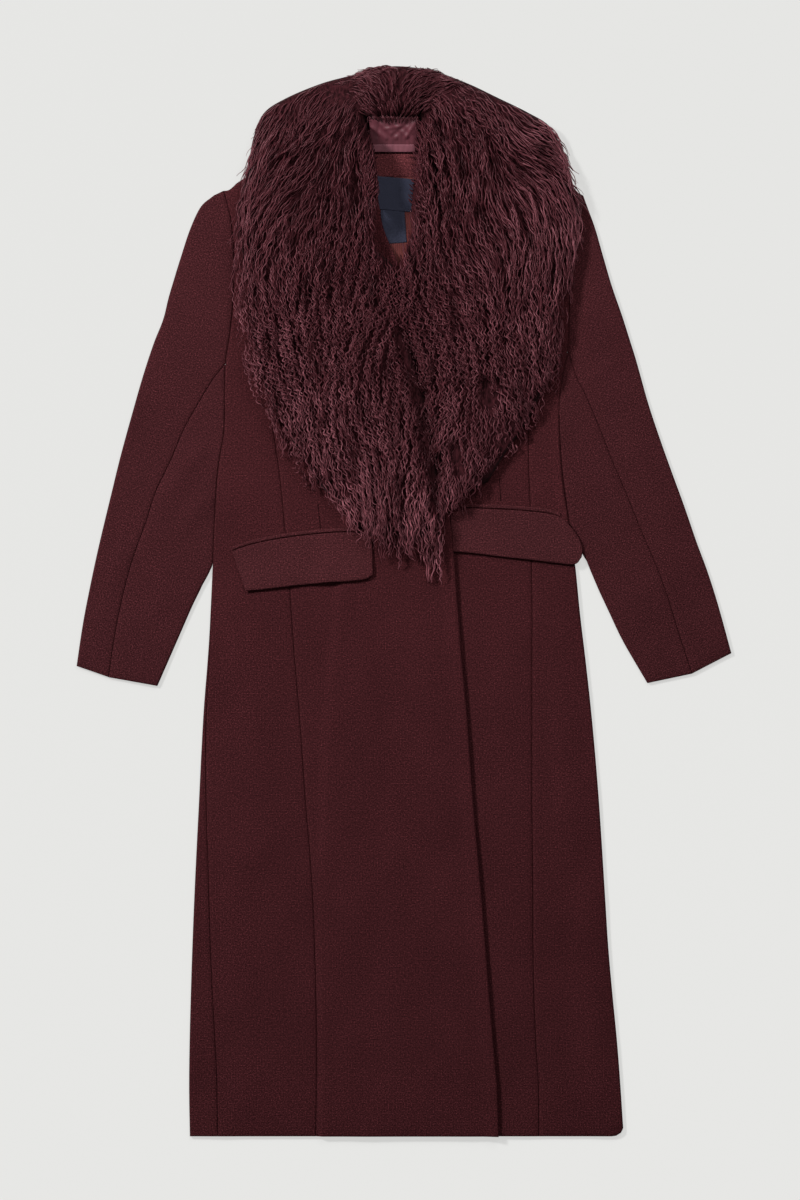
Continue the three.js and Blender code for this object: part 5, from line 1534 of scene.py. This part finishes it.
def ribbed_material(name, color, rib_mm, direction, gloss):
    """A lining or a woven tape: parallel ribs of one colour with a slight gloss."""
    material, tree, shader = new_material(name, Roughness=gloss, Specular_IOR_Level=0.15,
                                          Sheen_Weight=0.03)
    uv = add(tree, "ShaderNodeTexCoord").outputs["UV"]
    rib = add(tree, "ShaderNodeTexWave", {
        "wave_type": "BANDS", "bands_direction": direction, "Scale": BAND / (rib_mm * MM),
        "Distortion": 0.8, "Detail": 1.0}, Vector=uv)
    grain = add(tree, "ShaderNodeTexNoise", {"Scale": 700.0, "Detail": 2.0}, Vector=uv)
    both = add(tree, "ShaderNodeMath", {"operation": "MULTIPLY_ADD", 1: 0.6},
               i0=rib.outputs["Fac"], i2=grain.outputs["Fac"])
    shade = ramp(tree, both.outputs[0], [(0.35, scaled(color, 0.62)), (1.0, scaled(color, 1.35))])
    surface(tree, shader, shade, both.outputs[0], 0.5, 0.35)
    return material


# ---- dressing ----
def dress(obj, material, node=None):
    """Gives a piece its material and its body, and hides the solid that it stands for."""
    obj.data.materials.append(material)
    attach(obj, "root")
    if node:
        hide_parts(node)
    return obj


def sew(made, material, node):
    """Dresses a piece of cloth. Its cut, which was worked out while it was plain, is not used."""
    obj, cut = made
    dress(obj, material, node)
    return obj


def colour(name, description, value):
    """A colour property whose default is an sRGB hex value."""
    return bpy.props.FloatVectorProperty(name=name, description=description, subtype="COLOR",
                                         size=4, min=0, max=1, default=linear(value))


def measure(name, description, value, unit="LENGTH"):
    """A number property, in metres if it is a length."""
    return bpy.props.FloatProperty(name=name, description=description, default=value, unit=unit)


class CoatCloth(bpy.types.PropertyGroup):
    """Colours of the coating."""
    body: colour("Body", "Wool of the fronts and the back", 0x3A191C)
    sleeves: colour("Sleeves", "Wool of the sleeves", 0x3A1A1D)
    # The pockets' wool is a lighter copy of the body's, as painted light on the flaps and welts.
    pockets: colour("Pockets", "Wool of the pocket flaps and welts", 0x3E1D20)


class CoatFur(bpy.types.PropertyGroup):
    """Sizes and colours of the fur."""
    curl_width: measure("Curl width", "Width of a curly lock", 2.1 * MM)
    hair_width: measure("Hair width", "Width of a loose hair", 1.0 * MM)
    crimp: measure("Crimp", "Swing of a tight curl to each side", 1.7 * MM)
    # The roots' colour is painted shade deep in the fur; the darkest locks and the underwool use it
    # too.
    dark: colour("Roots", "Colour deep in the fur", 0x301317)
    middle: colour("Locks", "Colour of the locks", 0x4F242A)
    light: colour("Light locks", "Colour of the lightest locks", 0x854F57)
    tips: colour("Tips", "Colour of the tips", 0x714047)


class CoatTrim(bpy.types.PropertyGroup):
    """Colours inside the neck."""
    satin: colour("Satin", "Inside of the collar stand", 0x552A32)
    loop: colour("Loop", "Hanger loop", 0x74454E)
    # The facing and the lining are painted lighter, as painted light against the fur's shadow over the
    # neck.
    facing: colour("Facing", "Neck facing", 0x54292C)
    lining: colour("Lining", "Back lining", 0x542422)
    label: colour("Label", "Bare woven labels", 0x272938)


class CoatStudio(bpy.types.PropertyGroup):
    """Floor, lights and camera."""
    floor: colour("Floor", "Light table", 0xE7E7E5)
    key: measure("Key light", "Power of the key light in watts", 152.0, "NONE")
    fill: measure("Fill", "Strength of the light all round", 0.2, "NONE")
    distance: measure("Camera distance", "Height of the camera", 5.0)
    across: measure("Field height", "Height of the picture's field", 1.5)


class COAT_OT_body(bpy.types.Operator):
    """Sew the back and the four front panels"""
    bl_idname = "coat.body"
    bl_label = "Body panels"

    def execute(self, context):
        wool = wool_material("wool coating, body", context.scene.coat_cloth.body)
        sew(back_panel(), wool, "back")
        for side, below in (("left", ["back"]), ("right", ["back", "front_left_centre"])):
            sew(side_front(side), wool, f"front_{side}_side")
            sew(centre_front(side), wool, f"front_{side}_centre")
        return {"FINISHED"}


class COAT_OT_sleeves(bpy.types.Operator):
    """Sew the two halves of both sleeves"""
    bl_idname = "coat.sleeves"
    bl_label = "Sleeves"

    def execute(self, context):
        wool = wool_material("wool coating, sleeves", context.scene.coat_cloth.sleeves)
        for side in ("right", "left"):
            sew(sleeve_top_panel(side), wool, f"sleeve_{side}_top")
            sew(sleeve_under_panel(side), wool, f"sleeve_{side}_under")
        return {"FINISHED"}


class COAT_OT_pockets(bpy.types.Operator):
    """Sew the pocket flaps, the welts over them and the darts above"""
    bl_idname = "coat.pockets"
    bl_label = "Pockets"

    def execute(self, context):
        wool = wool_material("wool coating, pockets", context.scene.coat_cloth.pockets)
        # Painted shade: the darts are the body's wool darkened to three tenths, for the shade along
        # their seams.
        seam = wool_material("wool coating, dart in painted shade", scaled(context.scene.coat_cloth.body, 0.3))
        for side in ("right", "left"):
            strip = dress(welt(side)[0], wool, f"pocket_welt_{side}")
            dress(dart(side), seam)
            sew(flap(side), wool, f"pocket_flap_{side}")
        return {"FINISHED"}


class COAT_OT_neck(bpy.types.Operator):
    """Sew what shows inside the neck: stand, satin, loop, facing, lining and bare labels"""
    bl_idname = "coat.neck"
    bl_label = "Inside of the neck"

    def execute(self, context):
        trim = context.scene.coat_trim
        lining_level = CLOTH + SMALL_GAP
        label_level = lining_level + LINING + SMALL_GAP
        wool = wool_material("wool coating, collar stand", context.scene.coat_cloth.body)
        sew(neck_piece("collar_stand", on_stand(0), WELT, slope=STAND_TILT), wool,
            "collar_stand")
        satin = satin_material("polyester satin, collar", trim.satin)
        tape = satin_material("polyester satin, loop", trim.loop)
        loop_level = on_stand(WELT + LINING + 2 * SMALL_GAP)
        loop = neck_piece("hanger_loop", loop_level, LINING, slope=STAND_TILT)[0]
        dress(loop, tape, "hanger_loop")
        lined = neck_piece("collar_lining", on_stand(WELT + SMALL_GAP), LINING, SATIN_PULLS, STAND_TILT)
        sew(lined, satin, "collar_lining")
        facing = wool_material("wool coating, facing", trim.facing)
        sew(neck_piece("neck_facing", at_level(lining_level), LINING), facing,
            "neck_facing")
        ribs = ribbed_material("viscose lining, ribbed", trim.lining, 2.6, "X", 0.6)
        sew(neck_piece("back_lining", at_level(lining_level), LINING), ribs,
            "back_lining")
        weave = ribbed_material("damask label tape, bare", trim.label, 1.2, "Y", 0.7)
        for name, level in (("label_size", label_level), ("label_main", label_level + LABEL + TUCKED)):
            sew(label(name, level), weave, name)
        return {"FINISHED"}


# What all the locks share: tresses for each lock, how far tips are drawn together, extra swing of
# a ringlet's tip, how much less wisps reach past the edge, wave and swing from smooth to curly,
# what a hollow takes from the tone as painted shade, and the reach past the edge, least and most,
# low and high up.
LOCK_LOOK = {
    "tresses": 0.3, "draw": 0.62, "ringlet": 0.5, "short": 9, "wave": (26, 7), "swing": (0.5, 1.7),
    "hollow": 0.05, "past_high": (-2, 3),
    "past": {"right": (-26, -2), "left": (-18, 0), "back": (-3, 1)},
}
# The four kinds: smooth strands, curls, loose hairs on top, painted lighter as painted highlight,
# and short locks round the neck.
LOCK_KINDS = {
    "strands": {"steps": 15, "curl": (0, 0.42), "start": 1, "parts": 1, "length": 1.0, "draw": 1.0,
                "over": 0.0, "light": 0.0, "counts": {"right": 2100, "left": 1900, "back": 260}},
    "curls": {"steps": 25, "curl": (0.42, 2), "start": 5001, "parts": 2, "length": 1.0,
              "draw": 1.0, "over": 0.0, "light": 0.0,
              "counts": {"right": 2150, "left": 1800, "back": 130}},
    "hairs": {"steps": 20, "curl": (0, 2), "start": 9001, "parts": 1, "length": 0.85, "draw": 0.5,
              "over": 0.05, "light": 0.22, "counts": {"right": 620, "left": 560, "back": 70}},
    "brow": {"steps": 14, "curl": (0, 2), "start": 13001, "parts": 1, "length": 0.6, "draw": 0.3,
             "over": 0.0, "light": -0.1, "counts": {"right": 150, "left": 150, "back": 110},
             "band": {"right": (-0.05, 0.05), "left": (-0.045, 0.05), "back": (-0.15, 0.1)},
             "rows": {"right": (-0.3, 5.5), "left": (-0.3, 5.5), "back": (0.2, 5.8)}},
}


class COAT_OT_fur(bpy.types.Operator):
    """Grow the fur of both lapels and of the back collar"""
    bl_idname = "coat.fur"
    bl_label = "Fur"

    def execute(self, context):
        look = context.scene.coat_fur
        wool = fur_material("curly lamb fur, dyed", look.dark, look.middle, look.light, look.tips)
        felt = underwool_material("underwool of lamb fur", look.dark, look.middle)
        shape = {**LOCK_LOOK, "swing": (0.3 * look.crimp / MM, look.crimp / MM)}
        for side in PELT:
            node = "fur_collar_back" if side == "back" else f"fur_lapel_{side}"
            dress(pelt(side, f"{node}_underwool"), felt, node)
            for name, kind in LOCK_KINDS.items():
                width = look.hair_width if name == "hairs" else look.curl_width
                for part in range(kind["parts"] if side != "back" else 1):
                    grown = locks(side, {**kind, "width": width / MM}, shape, part)
                    piece = make_object(f"{node}_{name}_{part + 1}", *grown[:2], shades=grown[2])
                    dress(piece, wool)
        return {"FINISHED"}


def area_light(name, place, target, size, power, color):
    """A square soft light at a place, turned to a target."""
    light = bpy.data.lights.new(name, "AREA")
    light.size, light.energy, light.color = size, power, color
    obj = bpy.data.objects.new(name, light)
    bpy.context.scene.collection.objects.link(obj)
    obj.location = place
    towards = np.array(target) - np.array(place)
    obj.rotation_euler = Vector(towards).to_track_quat("-Z", "Y").to_euler()


# Where the lamps stand, what they point at, their size in metres and their share of the power.
LAMPS = {
    "key": {"place": (-2.15, 1.55, 2.3), "target": (0, 0.1, 0), "size": 0.55, "share": 1.0},
    "top": {"place": (0.5, 1.3, 1.6), "target": (0, 0.2, 0), "size": 1.0, "share": 0.13},
}
FLOOR_GLOW = 0.72           # share of the floor's tone that comes from below
FLOOR_HALF = 6000.0
VIEW_CENTRE = (-5, 1.9)     # the camera stands above this place


def table_material(color, power, fill):
    """The opal sheet of a light table. Most of its tone comes from below, so shadows on it are
    faint. The rest is its own tone under the lamps, graduated so that it looks even: divided by
    the light that falls on each place from the lamps and from all round."""
    material, tree, shader = new_material("opal acrylic, lit from below", Roughness=1.0,
                                          Specular_IOR_Level=0.0, Emission_Color=color,
                                          Emission_Strength=FLOOR_GLOW)
    place = add(tree, "ShaderNodeTexCoord").outputs["Object"]
    total = add(tree, "ShaderNodeValue")
    total.outputs[0].default_value = fill
    for lamp in LAMPS.values():
        aim = np.array(lamp["target"]) - np.array(lamp["place"])
        aim = aim / np.linalg.norm(aim)
        away = add(tree, "ShaderNodeVectorMath", {"operation": "SUBTRACT", 1: lamp["place"]}, i0=place)
        ahead = add(tree, "ShaderNodeVectorMath", {"operation": "DOT_PRODUCT", 1: tuple(aim)},
                    i0=away.outputs[0])
        far = add(tree, "ShaderNodeVectorMath", {"operation": "LENGTH"}, i0=away.outputs[0])
        fade = add(tree, "ShaderNodeMath", {"operation": "POWER", 1: -4.0}, i0=far.outputs[1])
        part = add(tree, "ShaderNodeMath", {"operation": "MULTIPLY"}, i0=ahead.outputs[1],
                   i1=fade.outputs[0])
        gain = power * lamp["share"] * lamp["place"][2] / math.pi ** 2
        total = add(tree, "ShaderNodeMath", {"operation": "MULTIPLY_ADD", 1: gain},
                    i0=part.outputs[0], i2=total.outputs[0])
    shade = add(tree, "ShaderNodeMath", {"operation": "DIVIDE", 0: 1 - FLOOR_GLOW},
                i1=total.outputs[0])
    toned = add(tree, "ShaderNodeVectorMath", {"operation": "SCALE", 0: tuple(color)[:3]},
                Scale=shade.outputs[0])
    tree.links.new(toned.outputs[0], shader.inputs["Base Color"])
    return material


class COAT_OT_stage(bpy.types.Operator):
    """Lay the pale floor and set the lights and the camera straight above the coat"""
    bl_idname = "coat.stage"
    bl_label = "Studio"

    def execute(self, context):
        studio = context.scene.coat_studio
        scene = context.scene
        corners = FLOOR_HALF * np.array([(-1, -1, 0), (1, -1, 0), (1, 1, 0), (-1, 1, 0)])
        floor = make_object("floor", corners, np.array([[0, 1, 2, 3]]), smooth_faces=False)
        floor.data.materials.append(table_material(studio.floor, studio.key, studio.fill))
        world = bpy.data.worlds.new("soft studio")
        world.use_nodes = True
        world.node_tree.nodes["Background"].inputs["Color"].default_value = (1, 1, 1, 1)
        world.node_tree.nodes["Background"].inputs["Strength"].default_value = studio.fill
        scene.world = world
        for name, lamp in LAMPS.items():
            area_light(name, lamp["place"], lamp["target"], lamp["size"], studio.key * lamp["share"],
                       (1, 1, 1))
        camera = bpy.data.cameras.new("camera")
        camera.sensor_width = 36
        camera.lens = camera.sensor_width * studio.distance / studio.across
        camera.clip_end = 50
        view = bpy.data.objects.new("camera", camera)
        scene.collection.objects.link(view)
        view.location = (VIEW_CENTRE[0] * MM, VIEW_CENTRE[1] * MM, studio.distance)
        scene.camera = view
        scene.view_settings.view_transform = "Standard"
        scene.view_settings.look = "None"
        return {"FINISHED"}


class COAT_PT_panel(bpy.types.Panel):
    """Lists the coat's operators and settings"""
    bl_idname = "COAT_PT_panel"
    bl_label = "Midi coat"
    bl_space_type = "VIEW_3D"
    bl_region_type = "UI"
    bl_category = "Coat"

    def draw(self, context):
        for group in GROUPS:
            settings = getattr(context.scene, group)
            for key in settings.__annotations__:
                self.layout.prop(settings, key)
        for operator in OPERATORS:
            self.layout.operator(operator.bl_idname)


GROUPS = {"coat_cloth": CoatCloth, "coat_fur": CoatFur, "coat_trim": CoatTrim,
          "coat_studio": CoatStudio}
OPERATORS = (COAT_OT_stage, COAT_OT_body, COAT_OT_sleeves, COAT_OT_pockets, COAT_OT_neck,
             COAT_OT_fur)


def register():
    for group in (*GROUPS.values(), *OPERATORS, COAT_PT_panel):
        bpy.utils.register_class(group)
    for name, group in GROUPS.items():
        setattr(bpy.types.Scene, name, bpy.props.PointerProperty(type=group))


def unregister():
    for name in GROUPS:
        delattr(bpy.types.Scene, name)
    for group in reversed((*GROUPS.values(), *OPERATORS, COAT_PT_panel)):
        bpy.utils.unregister_class(group)


def main():
    """Registers the add-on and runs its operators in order."""
    register()
    for operator in OPERATORS:
        group, name = operator.bl_idname.split(".")
        getattr(getattr(bpy.ops, group), name)()


if __name__ == "__main__":
    main()
